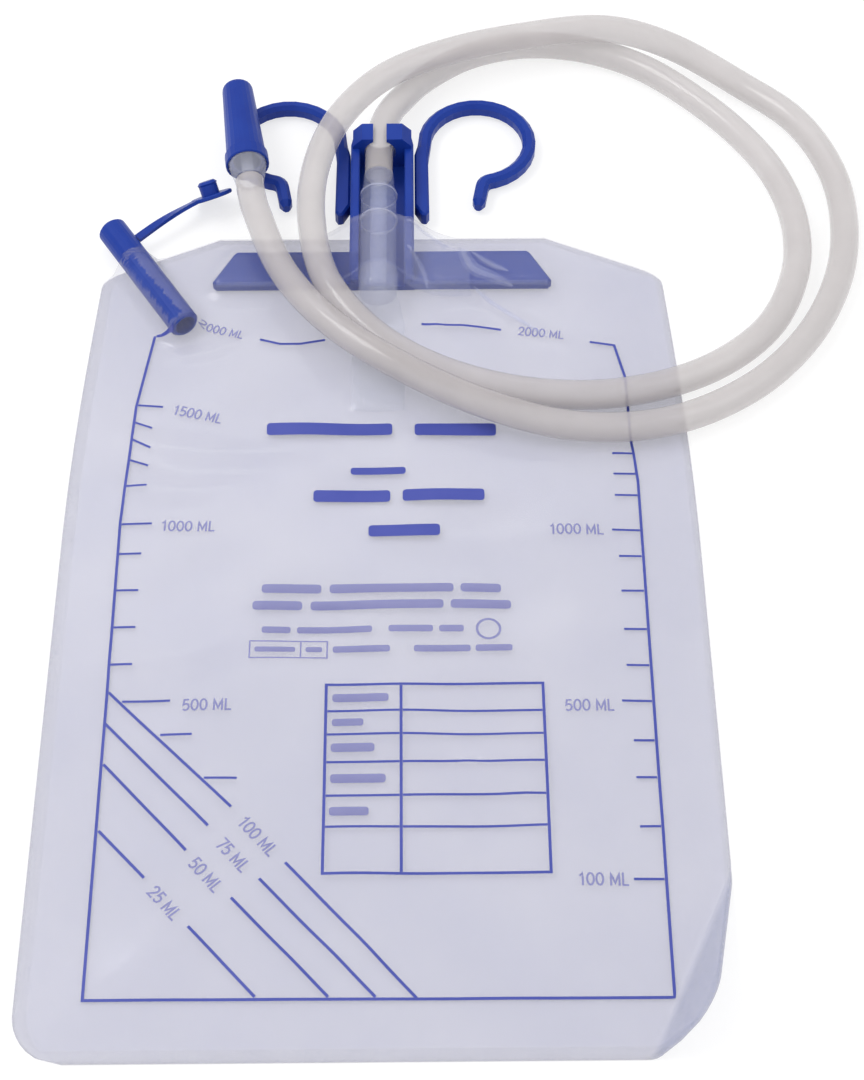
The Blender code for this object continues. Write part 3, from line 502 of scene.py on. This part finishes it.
def wrinkles(grid_x, grid_y):
    """The wrinkles' height at every place of the grid."""
    rise = np.zeros(grid_x.shape)
    for points, height, wide in WRINKLES:
        line = smooth_points([(x / MM_PER_M, y / MM_PER_M, 0.0) for x, y in points], WRINKLE_SPAN_STEPS)
        nearest = np.full(grid_x.shape, np.inf)
        along = np.zeros(grid_x.shape)
        for i, p in enumerate(line):
            away = np.hypot(grid_x - p.x, grid_y - p.y)
            along = np.where(away < nearest, i / (len(line) - 1), along)
            nearest = np.minimum(nearest, away)
        fade = np.sin(np.pi * np.clip(along, WRINKLE_END, 1 - WRINKLE_END)) ** WRINKLE_CREST
        rise += height / MM_PER_M * fade * np.exp(-((nearest * MM_PER_M / wide) ** 2))
    return rise


def waves(grid_x, grid_y):
    """The waves' height at every place of the grid, in shares of WAVE_LIFT."""
    rise = np.zeros(grid_x.shape)
    for height, ripples in WAVES:
        wave = height
        for across, along, shift in ripples:
            wave = wave * np.sin(across * grid_x + along * grid_y + shift)
        rise += wave
    return rise


# The share of the weld's width that holds the front film down
WELDED_SHARE = 0.8
# Where the weld doesn't hold it, in metres: round the outlet port, and over the channel at the top
PORT_HALF_WIDTH = 0.011
PORT_HALF_LENGTH = 0.034
OPEN_HALF_WIDTH = 0.026
# How far it sags in each round of the drape, in metres, and how many rounds there are
SAG = 2.2e-5
PORT_SAG = 1.5e-4
DRAPE_ROUNDS = 2600
# How far inside the weld its slack is full, and how far the slack and the waves lift it, in metres
SLACK_REACH = 0.040
SLACK_LIFT = 0.0010
WAVE_LIFT = 0.0005
# The wrinkles reach their full height this many times sooner than the slack
WRINKLE_HASTE = 4


def film_heights():
    """The front film's underside at every place of the grid: a taut skin over the pieces inside."""
    under = obstacle_heights()
    over = np.maximum(ceiling_heights(hose_path()), under + LEAST_ROOM)
    grid_x, grid_y = np.meshgrid(GRID_X, GRID_Y)
    inside = np.array([[edge_distance(x, y) for x in GRID_X] for y in GRID_Y])
    from_port_x, from_port_y = grid_x - PORT_MIDDLE.x, grid_y - PORT_MIDDLE.y
    across_port = np.abs(from_port_x * PORT_SIDE.x + from_port_y * PORT_SIDE.y)
    along_port = np.abs(from_port_x * PORT_AXIS.x + from_port_y * PORT_AXIS.y)
    near_port = (across_port < PORT_HALF_WIDTH) & (along_port < PORT_HALF_LENGTH)
    open_top = (np.abs(grid_x) < OPEN_HALF_WIDTH) & (grid_y > SHOULDER_Y)
    welded = (inside < WELD_WIDTH * WELDED_SHARE) & ~open_top & ~near_port
    heights = under.copy()
    heights[welded] = FILM_PAIR
    sag = np.where(near_port, PORT_SAG, SAG)
    for _ in range(DRAPE_ROUNDS):
        padded = np.pad(heights, 1, mode="edge")
        mean = (padded[:-2, 1:-1] + padded[2:, 1:-1] + padded[1:-1, :-2] + padded[1:-1, 2:]) / 4
        heights = np.where(welded, heights, np.clip(mean - sag, under, over))
    share = np.clip((inside - WELD_WIDTH) / SLACK_REACH, 0.0, 1.0)
    slack = share * share * (3 - 2 * share)
    lift = slack * (SLACK_LIFT + WAVE_LIFT * waves(grid_x, grid_y))
    lift += np.clip(share * WRINKLE_HASTE, 0.0, 1.0) * wrinkles(grid_x, grid_y)
    return np.minimum(np.maximum(heights, under) + lift, over)


# Places are read up to a little before the grid's last point, so that each has four points round it
LAST_CELL = 1.001


def sampled(grid, x, y):
    """A grid's value at any place, between its four nearest points."""
    column = min(max((x - GRID_X[0]) / GRID, 0.0), len(GRID_X) - LAST_CELL)
    row = min(max((y - GRID_Y[0]) / GRID, 0.0), len(GRID_Y) - LAST_CELL)
    i, j = int(column), int(row)
    u, v = column - i, row - j
    low = grid[j, i] * (1 - u) + grid[j, i + 1] * u
    high = grid[j + 1, i] * (1 - u) + grid[j + 1, i + 1] * u
    return low * (1 - v) + high * v


# The looks of a film's faces: its middle, its welded rim, and where it clings to the port
MIDDLE, RIM, WET = range(3)
RIM_SHARE = 0.5
# Where the front film clings to the port, in metres from the port's middle: along it, and across it
# up to a limit that slants
WET_START = -0.0255
WET_END = 0.016
WET_NEAR = -0.0052
WET_FAR = -0.0024
WET_SLANT = 0.05
# Columns and rows of each film's mesh
FRONT_MESH = (165, 255)
BACK_MESH = (103, 153)


def film_look(x, y):
    """Which look a place of a film has."""
    if edge_distance(x, y) < WELD_WIDTH * RIM_SHARE:
        return RIM
    from_port = Vector((x, y)) - PORT_MIDDLE
    along, across = from_port.dot(PORT_AXIS), from_port.dot(PORT_SIDE)
    clings = WET_START < along < WET_END and WET_NEAR < across < WET_FAR - WET_SLANT * along
    return WET if clings else MIDDLE


def film_mesh(name, height, looks, columns, rows):
    """A closed film from its foot to its top edge, its lower face at height(x, y)."""

    def place(row, column):
        y = FOOT_Y + BAG_LENGTH * row / (rows - 1)
        return half_width(y) * (2 * column / (columns - 1) - 1), y

    low, high = [], []
    for row in range(rows):
        for column in range(columns):
            x, y = place(row, column)
            z = height(x, y)
            low.append(curled(Vector((x, y, z))))
            high.append(curled(Vector((x, y, z + FILM))))
    total = len(low)
    faces = []
    for row in range(rows - 1):
        for i in range(row * columns, row * columns + columns - 1):
            faces.append((i, i + columns, i + columns + 1, i + 1))
            faces.append((total + i, total + i + 1, total + i + columns + 1, total + i + columns))
    rim = list(range(columns))
    rim += [row * columns + columns - 1 for row in range(1, rows)]
    rim += [total - 1 - i for i in range(1, columns)]
    rim += [row * columns for row in range(rows - 2, 0, -1)]
    for here, following in zip(rim, rim[1:] + rim[:1]):
        faces.append((here, following, total + following, total + here))
    made = add_mesh(name, low + high, faces, looks[MIDDLE])
    for look in looks[1:]:
        made.data.materials.append(look)
    for face in made.data.polygons:
        look = film_look(*place(*divmod(face.vertices[0] % total, columns)))
        face.material_index = look if look < len(looks) else MIDDLE
    return made


def build_films(heights):
    """Both films: the front one at the grid's heights, the back one flat but for its curled corner."""
    front = film_mesh("front_film_soft", lambda x, y: sampled(heights, x, y), FRONT_LOOKS, *FRONT_MESH)
    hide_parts("front_film")
    back = film_mesh("back_film_soft", lambda x, y: 0.0, BACK_LOOKS, *BACK_MESH)
    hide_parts("back_film")


# Print: flat geometry on the front film, given in millimetres

PRINT_STEP = 1.5
INK_LIFT = 0.05
LINE_WIDTH = 0.9
THIN_WIDTH = 0.8
BOX_WIDTH = 0.5
# A mitre is no longer than at this cosine of half its turn
LEAST_MITRE = 0.5
# A bar's rounding is this share of its height, up to a largest one, in so many steps to a quarter turn
BAR_ROUNDING = 0.35
LARGEST_ROUNDING = 1.2
ROUNDING_STEPS = 4


def on_film(heights, x, y, lift):
    """The point above a place on the front film, all in metres."""
    return curled(Vector((x, y, sampled(heights, x, y) + FILM + lift)))


def ribbon(heights, points, width=LINE_WIDTH, lift=INK_LIFT, closed=False):
    """Vertices and faces of one printed line through points, mitred at its corners."""
    line = [Vector(p) / MM_PER_M for p in points]
    ends = line[1:] + line[:1] if closed else line[1:]
    fine = []
    for start, end in zip(line, ends):
        count = max(1, round((end - start).length / (PRINT_STEP / MM_PER_M)))
        fine += [start + (end - start) * i / count for i in range(count)]
    if not closed:
        fine.append(line[-1])
    vertices, faces = [], []
    for i, here in enumerate(fine):
        before = fine[i - 1] if i or closed else None
        after = fine[(i + 1) % len(fine)] if i + 1 < len(fine) or closed else None
        arrive = (here - before).normalized() if before is not None else (after - here).normalized()
        leave = (after - here).normalized() if after is not None else arrive
        side = Vector((-arrive.y - leave.y, arrive.x + leave.x)).normalized()
        mitre = max(LEAST_MITRE, side.dot(Vector((-arrive.y, arrive.x))))
        reach = width / 2 / MM_PER_M / mitre
        for edge in (here - side * reach, here + side * reach):
            vertices.append(on_film(heights, edge.x, edge.y, lift / MM_PER_M))
    count = len(fine) if closed else len(fine) - 1
    for i in range(count):
        low, high = 2 * i, 2 * ((i + 1) % len(fine))
        faces.append((low, high, high + 1, low + 1))
    return vertices, faces


def bar(heights, start, end, y, tall):
    """Vertices and faces of a printed bar with rounded ends."""
    rounding = min(BAR_ROUNDING * tall, LARGEST_ROUNDING)
    straight = end - start - 2 * rounding
    inner = max(1, round(straight / PRINT_STEP))
    quarter = [math.pi / 2 / ROUNDING_STEPS * i for i in range(ROUNDING_STEPS + 1)]
    steps = [start + rounding * (1 - math.cos(t)) for t in quarter]
    steps += [start + rounding + straight * i / inner for i in range(1, inner)]
    steps += [end - rounding * (1 - math.sin(t)) for t in quarter]
    rows = max(2, round(tall / PRINT_STEP) + 1)
    vertices, faces = [], []
    for x in steps:
        inset = max(0.0, rounding - (x - start), rounding - (end - x))
        half = tall / 2 - rounding + math.sqrt(max(0.0, rounding**2 - inset**2))
        for row in range(rows):
            across = y + half * (2 * row / (rows - 1) - 1)
            vertices.append(on_film(heights, x / MM_PER_M, across / MM_PER_M, INK_LIFT / MM_PER_M))
    for i in range(len(steps) - 1):
        for low in range(i * rows, i * rows + rows - 1):
            faces.append((low, low + rows, low + rows + 1, low + 1))
    return vertices, faces


# The scale's characters, in shares of their height: each one's advance and strokes
ZERO_POINTS = 16
ZERO_STEP = 0.3927
ZERO_MIDDLE = (0.31, 0.5)
ZERO_REACH = (0.24, 0.45)
ZERO = [
    (
        ZERO_MIDDLE[0] + ZERO_REACH[0] * math.cos(step * ZERO_STEP),
        ZERO_MIDDLE[1] + ZERO_REACH[1] * math.sin(step * ZERO_STEP),
    )
    for step in range(ZERO_POINTS)
]
GLYPHS = {
    "0": (0.66, (ZERO,)),
    "1": (0.56, (((0.10, 0.74), (0.30, 0.88), (0.32, 0.98), (0.32, 0.0)),)),
    "2": (0.64, (((0.08, 0.70), (0.14, 0.88), (0.30, 0.95), (0.47, 0.88), (0.52, 0.70), (0.44, 0.50),
                  (0.10, 0.06), (0.56, 0.06)),)),
    "5": (0.64, (((0.52, 0.94), (0.17, 0.94), (0.12, 0.52), (0.28, 0.60), (0.46, 0.54), (0.53, 0.34),
                  (0.44, 0.12), (0.26, 0.05), (0.09, 0.14)),)),
    "7": (0.60, (((0.07, 0.94), (0.53, 0.94), (0.24, 0.0)),)),
    "M": (0.86, (((0.10, 0.0), (0.10, 0.94), (0.40, 0.20), (0.70, 0.94), (0.70, 0.0)),)),
    "L": (0.58, (((0.10, 1.0), (0.10, 0.06), (0.52, 0.06)),)),
    " ": (0.34, ()),
}
STROKE_WIDTH = 0.15


def lettering(heights, text, x, y, tall, turn=0.0):
    """Vertices and faces of one label of the scale, centred on a place and turned in degrees."""
    wide = sum(GLYPHS[letter][0] for letter in text) * tall
    turned = Matrix.Rotation(math.radians(turn), 2)
    middle = Vector((x, y))
    pieces = []
    pen = -wide / 2
    for letter in text:
        advance, strokes = GLYPHS[letter]
        for stroke in strokes:
            placed = [middle + turned @ Vector((pen + u * tall, (v - 0.5) * tall)) for u, v in stroke]
            pieces.append(ribbon(heights, placed, STROKE_WIDTH * tall, closed=letter == "0"))
        pen += advance * tall
    return joined(pieces)


# The frame with its straight and bent sides, the lines at the top, and the slanting lines of the
# small volumes
LINES = (
    ((-77.7, 108.1), (-82.1, 77.2), (-84.1, 29.6), (-83.6, -33.2), (-83.1, -134.5), (83.1, -135.1),
     (83.9, 45.3), (82.6, 61.3), (82.2, 89.0), (79.3, 102.7), (71.0, 104.1)),
    ((-77.2, 108.0), (-70.8, 106.7)),
    ((-41.7, 106.0), (-34.8, 103.7), (-27.9, 103.6), (-19.4, 105.3)),
    ((13.6, 112.0), (28.0, 111.4), (40.8, 109.6)),
    ((-83.1, -33.9), (-43.9, -74.3)),
    ((-27.4, -92.4), (10.6, -134.5)),
    ((-83.3, -45.0), (-50.4, -80.5)),
    ((-34.8, -97.5), (-0.9, -134.2)),
    ((-82.8, -59.1), (-56.5, -88.3)),
    ((-42.7, -103.5), (-14.2, -134.1)),
    ((-82.6, -81.3), (-68.2, -96.9)),
    ((-54.6, -112.5), (-34.8, -133.9)),
)
# Ticks of the left scale: start height, start, end height and end
LEFT_TICKS = (
    (78.0, -81.5, 77.0, -73.1),
    (70.7, -82.0, 68.2, -76.2),
    (63.4, -82.4, 59.8, -76.2),
    (55.1, -82.8, 52.6, -76.5),
    (44.1, -83.2, 44.3, -76.4),
    (29.2, -83.6, 29.2, -73.8),
    (17.6, -83.6, 17.6, -76.5),
    (3.6, -83.5, 3.6, -76.5),
    (-10.3, -83.4, -10.3, -76.5),
    (-24.2, -83.3, -24.2, -76.5),
    (-37.2, -78.8, -37.2, -64.1),
    (-49.2, -66.4, -49.2, -56.8),
    (-64.4, -52.4, -64.4, -42.6),
)
# Ticks of the right scale: height, start and end
RIGHT_TICKS = (
    (55.8, 76.0, 82.6),
    (48.0, 76.0, 83.2),
    (39.3, 76.0, 83.4),
    (25.3, 74.3, 83.3),
    (15.2, 76.0, 83.2),
    (2.0, 76.0, 83.1),
    (-12.3, 76.0, 83.1),
    (-25.6, 76.0, 83.0),
    (-38.5, 73.8, 83.0),
    (-52.2, 76.6, 82.9),
    (-64.9, 76.6, 82.8),
    (-81.6, 76.6, 82.8),
    (-98.5, 73.8, 82.7),
)
# Labels of the scale: text, middle, height and turn in degrees
NUMBERS = (
    ("2000 ML", -54.8, 110.3, 3.6, -17.0),
    ("2000 ML", 54.6, 108.2, 3.6, -8.0),
    ("1500 ML", -61.2, 73.6, 4.0, -15.0),
    ("1000 ML", -62.0, 27.9, 4.1, -2.0),
    ("500 ML", -52.7, -39.0, 4.1, 0.0),
    ("1000 ML", 62.9, 25.3, 4.1, 0.0),
    ("500 ML", 63.9, -40.1, 4.1, 0.0),
    ("100 ML", 65.1, -98.6, 4.1, 0.0),
    ("100 ML", -35.6, -83.9, 4.1, -48.0),
    ("75 ML", -42.6, -90.0, 4.1, -48.0),
    ("50 ML", -50.3, -96.2, 4.1, -49.0),
    ("25 ML", -61.7, -105.1, 4.1, -49.0),
)
TABLE_ROWS = (-41.6, -49.8, -59.3, -70.5, -81.0)
TABLE_TOP, TABLE_FOOT = -32.1, -96.3
TABLE_LEFT, TABLE_RIGHT, TABLE_DIVIDER = -16.5, 49.9, 6.4
# Inner lines stop this far from the ones they meet
LINE_GAP = 0.5
# Plain bars where the words were: start, end, middle height and how tall
DARK_BARS = (
    (-38.0, 3.6, 66.8, 5.0),
    (11.0, 38.0, 66.4, 5.0),
    (-10.0, 8.0, 49.4, 2.8),
    (-22.0, 3.0, 39.5, 4.6),
    (7.0, 33.6, 39.5, 4.6),
    (-4.0, 19.0, 25.5, 4.6),
)
FAINT_BARS = (
    (-37.5, -18.7, 3.2, 3.3),
    (-16.1, 23.0, 3.2, 3.3),
    (25.2, 38.0, 3.2, 3.3),
    (-40.2, -24.6, -3.0, 3.3),
    (-22.0, 19.8, -3.0, 3.3),
    (22.0, 41.0, -3.0, 3.3),
    (-37.0, -28.0, -12.0, 2.4),
    (-26.0, -2.6, -12.0, 2.4),
    (2.5, 16.4, -12.0, 2.4),
    (18.3, 26.0, -12.0, 2.4),
    (-39.0, -26.4, -19.2, 1.9),
    (-23.2, -18.0, -19.2, 1.9),
    (-14.8, 3.0, -19.2, 2.4),
    (10.4, 28.0, -19.2, 2.4),
    (29.5, 41.0, -19.2, 2.4),
    (-14.6, 2.6, -36.9, 3.0),
    (-14.6, -5.0, -45.6, 2.6),
    (-14.8, -1.6, -54.4, 3.0),
    (-14.8, 1.8, -64.8, 3.0),
    (-15.0, -3.2, -75.8, 3.0),
)
BOX = ((-40.5, -16.2), (-16.5, -16.2), (-16.5, -22.3), (-40.5, -22.3))
BOX_DIVIDER = ((-24.7, -16.5), (-24.7, -22.0))
RING_X, RING_Y, RING_RADIUS = 33.7, -12.2, 3.6
RING_POINTS = 24


def build_print(heights):
    """The scale, the empty table and the plain bars, dark and faint."""
    left, right, middle = TABLE_LEFT, TABLE_RIGHT, TABLE_DIVIDER
    outline = ((left, TABLE_TOP), (right, TABLE_TOP), (right, TABLE_FOOT), (left, TABLE_FOOT))
    divider = ((middle, TABLE_TOP - LINE_GAP), (middle, TABLE_FOOT + LINE_GAP))
    dark = [ribbon(heights, line) for line in LINES]
    dark += [ribbon(heights, ((x0, y0), (x1, y1)), THIN_WIDTH) for y0, x0, y1, x1 in LEFT_TICKS]
    dark += [ribbon(heights, ((x0, y), (x1, y)), THIN_WIDTH) for y, x0, x1 in RIGHT_TICKS]
    dark += [ribbon(heights, outline, closed=True), ribbon(heights, divider)]
    for y in TABLE_ROWS:
        for start, end in ((left, middle), (middle, right)):
            dark.append(ribbon(heights, ((start + LINE_GAP, y), (end - LINE_GAP, y)), THIN_WIDTH))
    dark += [bar(heights, *place) for place in DARK_BARS]
    faint = [lettering(heights, *number) for number in NUMBERS]
    faint += [bar(heights, *place) for place in FAINT_BARS]
    faint += [ribbon(heights, BOX, BOX_WIDTH, closed=True), ribbon(heights, BOX_DIVIDER, BOX_WIDTH)]
    ring = [
        (RING_X + RING_RADIUS * math.cos(t), RING_Y + RING_RADIUS * math.sin(t)) for t in turns(RING_POINTS)
    ]
    faint.append(ribbon(heights, ring, THIN_WIDTH, closed=True))
    add_mesh("scale_print", *joined(dark), INK)
    add_mesh("fine_print", *joined(faint), FAINT_INK)


# Folds of the front film over the hanger's bar, with painted highlights along their creases, in millimetres

# Each pleat's points and its widest place: strips of doubled film, painted light as the highlights along the
# creases
PLEAT_HIGHLIGHTS = (
    (((8.6, 151.3), (14.0, 150.0), (20.5, 147.6), (28.4, 142.6)), 1.1),
    (((27.2, 147.4), (28.9, 140.0), (31.7, 133.8), (37.3, 130.6), (45.5, 127.0)), 2.3),
    (((31.2, 142.0), (37.4, 136.3), (44.0, 132.6)), 1.5),
    (((8.8, 139.5), (13.8, 132.7), (15.8, 125.5)), 1.4),
    (((31.6, 127.1), (37.1, 122.1), (46.2, 114.6), (57.0, 106.0)), 1.0),
)
PLEAT_SPAN_STEPS = 14
PLEAT_LIFT = 0.12
# A pleat keeps a little width at its ends, and its sides are fuller than a sine's
PLEAT_END = 0.06
PLEAT_FULLNESS = 0.6
# Soft edges of painted sheen lie under the pleats, and a painted highlight lies along the bar's lower side
SOFT_SHEEN_SPREAD = 2.2
SOFT_SHEEN_LIFT = 0.08
BAR_LIP_HIGHLIGHT = ((-57.4, 128.1), (57.4, 128.1))
BAR_LIP_HIGHLIGHT_WIDTH = 1.3
# The film lies doubled from the channel's side to this edge
DOUBLED_LEFT = 7.6
DOUBLED_EDGE = (
    (31.0, 124.0),
    (30.4, 129.0),
    (30.6, 134.0),
    (29.2, 139.5),
    (27.0, 144.0),
    (20.0, 147.8),
    (9.0, 151.2),
)
DOUBLED_SPAN_STEPS = 5
DOUBLED_COLUMNS = 14
DOUBLED_LIFT = 0.05


def pleat(heights, points, widest, lift=PLEAT_LIFT):
    """Vertices and faces of a narrow fold of doubled film, widest at its middle, which carries a painted
    highlight or the painted sheen of its edge.
    """
    route = smooth_points([(*point, 0.0) for point in points], PLEAT_SPAN_STEPS)
    line = [p.xy / MM_PER_M for p in route]
    vertices, faces = [], []
    for i, here in enumerate(line):
        along = (line[min(i + 1, len(line) - 1)] - line[max(i - 1, 0)]).normalized()
        rounded = max(0.0, math.sin(math.pi * i / (len(line) - 1))) ** PLEAT_FULLNESS
        reach = widest / 2 / MM_PER_M * (PLEAT_END + (1 - PLEAT_END) * rounded)
        side = Vector((-along.y, along.x)) * reach
        for place in (here - side, here, here + side):
            vertices.append(on_film(heights, place.x, place.y, lift / MM_PER_M))
    for low in range(0, 3 * (len(line) - 1), 3):
        faces += [(low, low + 3, low + 4, low + 1), (low + 1, low + 4, low + 5, low + 2)]
    return vertices, faces


def doubled_field(heights):
    """Vertices and faces of the doubled film, from its straight left side to its edge."""
    line = smooth_points([(*point, 0.0) for point in DOUBLED_EDGE], DOUBLED_SPAN_STEPS)
    columns = DOUBLED_COLUMNS
    vertices, faces = [], []
    for p in line:
        for column in range(columns):
            x = DOUBLED_LEFT + (p.x - DOUBLED_LEFT) * column / (columns - 1)
            vertices.append(on_film(heights, x / MM_PER_M, p.y / MM_PER_M, DOUBLED_LIFT / MM_PER_M))
    for row in range(len(line) - 1):
        for low in range(row * columns, row * columns + columns - 1):
            faces.append((low, low + 1, low + columns + 1, low + columns))
    return vertices, faces


def build_folds(heights):
    """The pleats with their painted highlights, their soft edges and the bar's lower side with painted
    sheen, and the doubled film.
    """
    highlight_pleats = [pleat(heights, *fold) for fold in PLEAT_HIGHLIGHTS]
    soft = [pleat(heights, points, SOFT_SHEEN_SPREAD * widest, SOFT_SHEEN_LIFT) for points, widest in PLEAT_HIGHLIGHTS]
    soft.append(ribbon(heights, BAR_LIP_HIGHLIGHT, BAR_LIP_HIGHLIGHT_WIDTH, SOFT_SHEEN_LIFT))
    add_mesh("film_folds", *joined(highlight_pleats), FOLD_HIGHLIGHT)
    add_mesh("fold_edge_sheen", *joined(soft), DOUBLED_FILM_AND_SHEEN)
    add_mesh("doubled_film", *doubled_field(heights), DOUBLED_FILM_AND_SHEEN)


# Rings moulded round the inlet connector

# Each ring's place along the bag and half its thickness, in metres
CONNECTOR_RINGS = ((0.1530, 0.0004), (0.1650, 0.0003))
CONNECTOR_RING_RADIUS = 0.0064
CONNECTOR_X, CONNECTOR_Z = TUBE_START[0], TUBE_START[2]
CONNECTOR_RING_POINTS = 48
SECTION_POINTS = 8


def build_rings():
    """The two thin rings round the inlet connector."""
    along = Vector((0, 1, 0))
    pieces = []
    for y, thick in CONNECTOR_RINGS:
        rings = []
        for t in turns(CONNECTOR_RING_POINTS):
            out = Vector((math.cos(t), 0, math.sin(t)))
            middle = Vector((CONNECTOR_X, y, CONNECTOR_Z)) + out * CONNECTOR_RING_RADIUS
            section = turns(SECTION_POINTS)
            rings.append([middle + thick * (math.cos(s) * out + math.sin(s) * along) for s in section])
        pieces.append(closed_rings(rings))
    add_mesh("connector_rings", *joined(pieces), RING)


# Stage, light and camera

FLOOR_SIZE = 8.0
FLOOR_HEIGHT = -0.0002
FLOOR_SHADE = 0.93
# What the camera sees of the floor: part of it is lit, the rest glows, so that shadows stay soft
SEEN_SHADE = 0.36
SEEN_GLOW = 0.70
FLOOR_ROUGHNESS = 0.9
WORLD_STRENGTH = 0.75
LAMP_AIM = Vector((0.0, 0.05, 0.0))
# Each lamp's name, place and size in metres, and power in watts
LAMPS = (
    ("key", (-0.7, 0.15, 1.2), (0.7, 0.5), 6.0),
    ("sheen", (-0.3, 0.9, 1.2), (1.1, 0.22), 1.1),
    ("fill", (0.8, 0.0, 1.2), (0.7, 0.7), 1.5),
)
# The camera, solved from the photo: target and distance in metres, elevation and turn in degrees,
# lens and sensor in millimetres
CAMERA_TARGET = Vector((0.01639, 0.0230, 0.0))
CAMERA_DISTANCE = 0.7180
CAMERA_ELEVATION = 55.0
CAMERA_TURN = 0.52
CAMERA_LENS = 74.47
CAMERA_SENSOR = 36.0
CAMERA_NEAR = 0.01
CAMERA_FAR = 20.0
# Enough for the see-through faces that lie over each other where the hose crosses the pouch
SEE_THROUGH_FACES = 20


def make_matt(shader, shade):
    """Sets a shader to a matt grey."""
    shader.inputs["Base Color"].default_value = (shade, shade, shade, 1.0)
    shader.inputs["Roughness"].default_value = FLOOR_ROUGHNESS
    shader.inputs["Specular IOR Level"].default_value = 0.0


def build_floor():
    """A white floor, which the camera and reflections see partly glowing."""
    bpy.ops.mesh.primitive_plane_add(size=FLOOR_SIZE, location=(0, 0, FLOOR_HEIGHT))
    floor = bpy.context.object
    floor.name = "floor"
    look = bpy.data.materials.new("floor")
    look.use_nodes = True
    tree = look.node_tree
    plain = tree.nodes["Principled BSDF"]
    make_matt(plain, FLOOR_SHADE)
    seen = tree.nodes.new("ShaderNodeBsdfPrincipled")
    make_matt(seen, SEEN_SHADE)
    seen.inputs["Emission Color"].default_value = (1.0, 1.0, 1.0, 1.0)
    seen.inputs["Emission Strength"].default_value = SEEN_GLOW
    rays = tree.nodes.new("ShaderNodeLightPath")
    share = rays.outputs["Is Camera Ray"]
    for kind in ("Is Glossy Ray", "Is Transmission Ray"):
        either = tree.nodes.new("ShaderNodeMath")
        either.operation = "MAXIMUM"
        tree.links.new(share, either.inputs[0])
        tree.links.new(rays.outputs[kind], either.inputs[1])
        share = either.outputs[0]
    mix = tree.nodes.new("ShaderNodeMixShader")
    tree.links.new(share, mix.inputs["Fac"])
    tree.links.new(plain.outputs["BSDF"], mix.inputs[1])
    tree.links.new(seen.outputs["BSDF"], mix.inputs[2])
    tree.links.new(mix.outputs["Shader"], tree.nodes["Material Output"].inputs["Surface"])
    floor.data.materials.append(look)


def build_lamp(name, place, size, power):
    """One soft rectangular lamp, turned toward the bag."""
    light = bpy.data.lights.new(name, "AREA")
    light.shape = "RECTANGLE"
    light.size, light.size_y = size
    light.energy = power
    lamp = bpy.data.objects.new(name, light)
    lamp.location = place
    lamp.rotation_euler = (LAMP_AIM - Vector(place)).to_track_quat("-Z", "Y").to_euler()
    SCENE.collection.objects.link(lamp)


def build_light():
    """A white world and the lamps."""
    world = bpy.data.worlds.new("studio")
    SCENE.world = world
    world.use_nodes = True
    background = world.node_tree.nodes["Background"]
    background.inputs["Color"].default_value = (1.0, 1.0, 1.0, 1.0)
    background.inputs["Strength"].default_value = WORLD_STRENGTH
    for lamp in LAMPS:
        build_lamp(*lamp)


def build_camera():
    """The camera at the photo's place, and how the picture is made from what it sees."""
    camera = bpy.data.cameras.new("camera")
    camera.sensor_width = CAMERA_SENSOR
    camera.lens = CAMERA_LENS
    camera.clip_start = CAMERA_NEAR
    camera.clip_end = CAMERA_FAR
    holder = bpy.data.objects.new("camera", camera)
    elevation, turn = math.radians(CAMERA_ELEVATION), math.radians(CAMERA_TURN)
    level = math.cos(elevation)
    forward = Vector((math.sin(turn) * level, math.cos(turn) * level, -math.sin(elevation)))
    holder.location = CAMERA_TARGET - forward * CAMERA_DISTANCE
    holder.rotation_euler = forward.to_track_quat("-Z", "Y").to_euler()
    SCENE.collection.objects.link(holder)
    SCENE.camera = holder
    SCENE.view_settings.view_transform = "Standard"
    SCENE.cycles.transparent_max_bounces = SEE_THROUGH_FACES


build_camera()
build_hose()
film = film_heights()
build_films(film)
build_print(film)
build_folds(film)
build_rings()
dress_solids()
build_floor()
build_light()
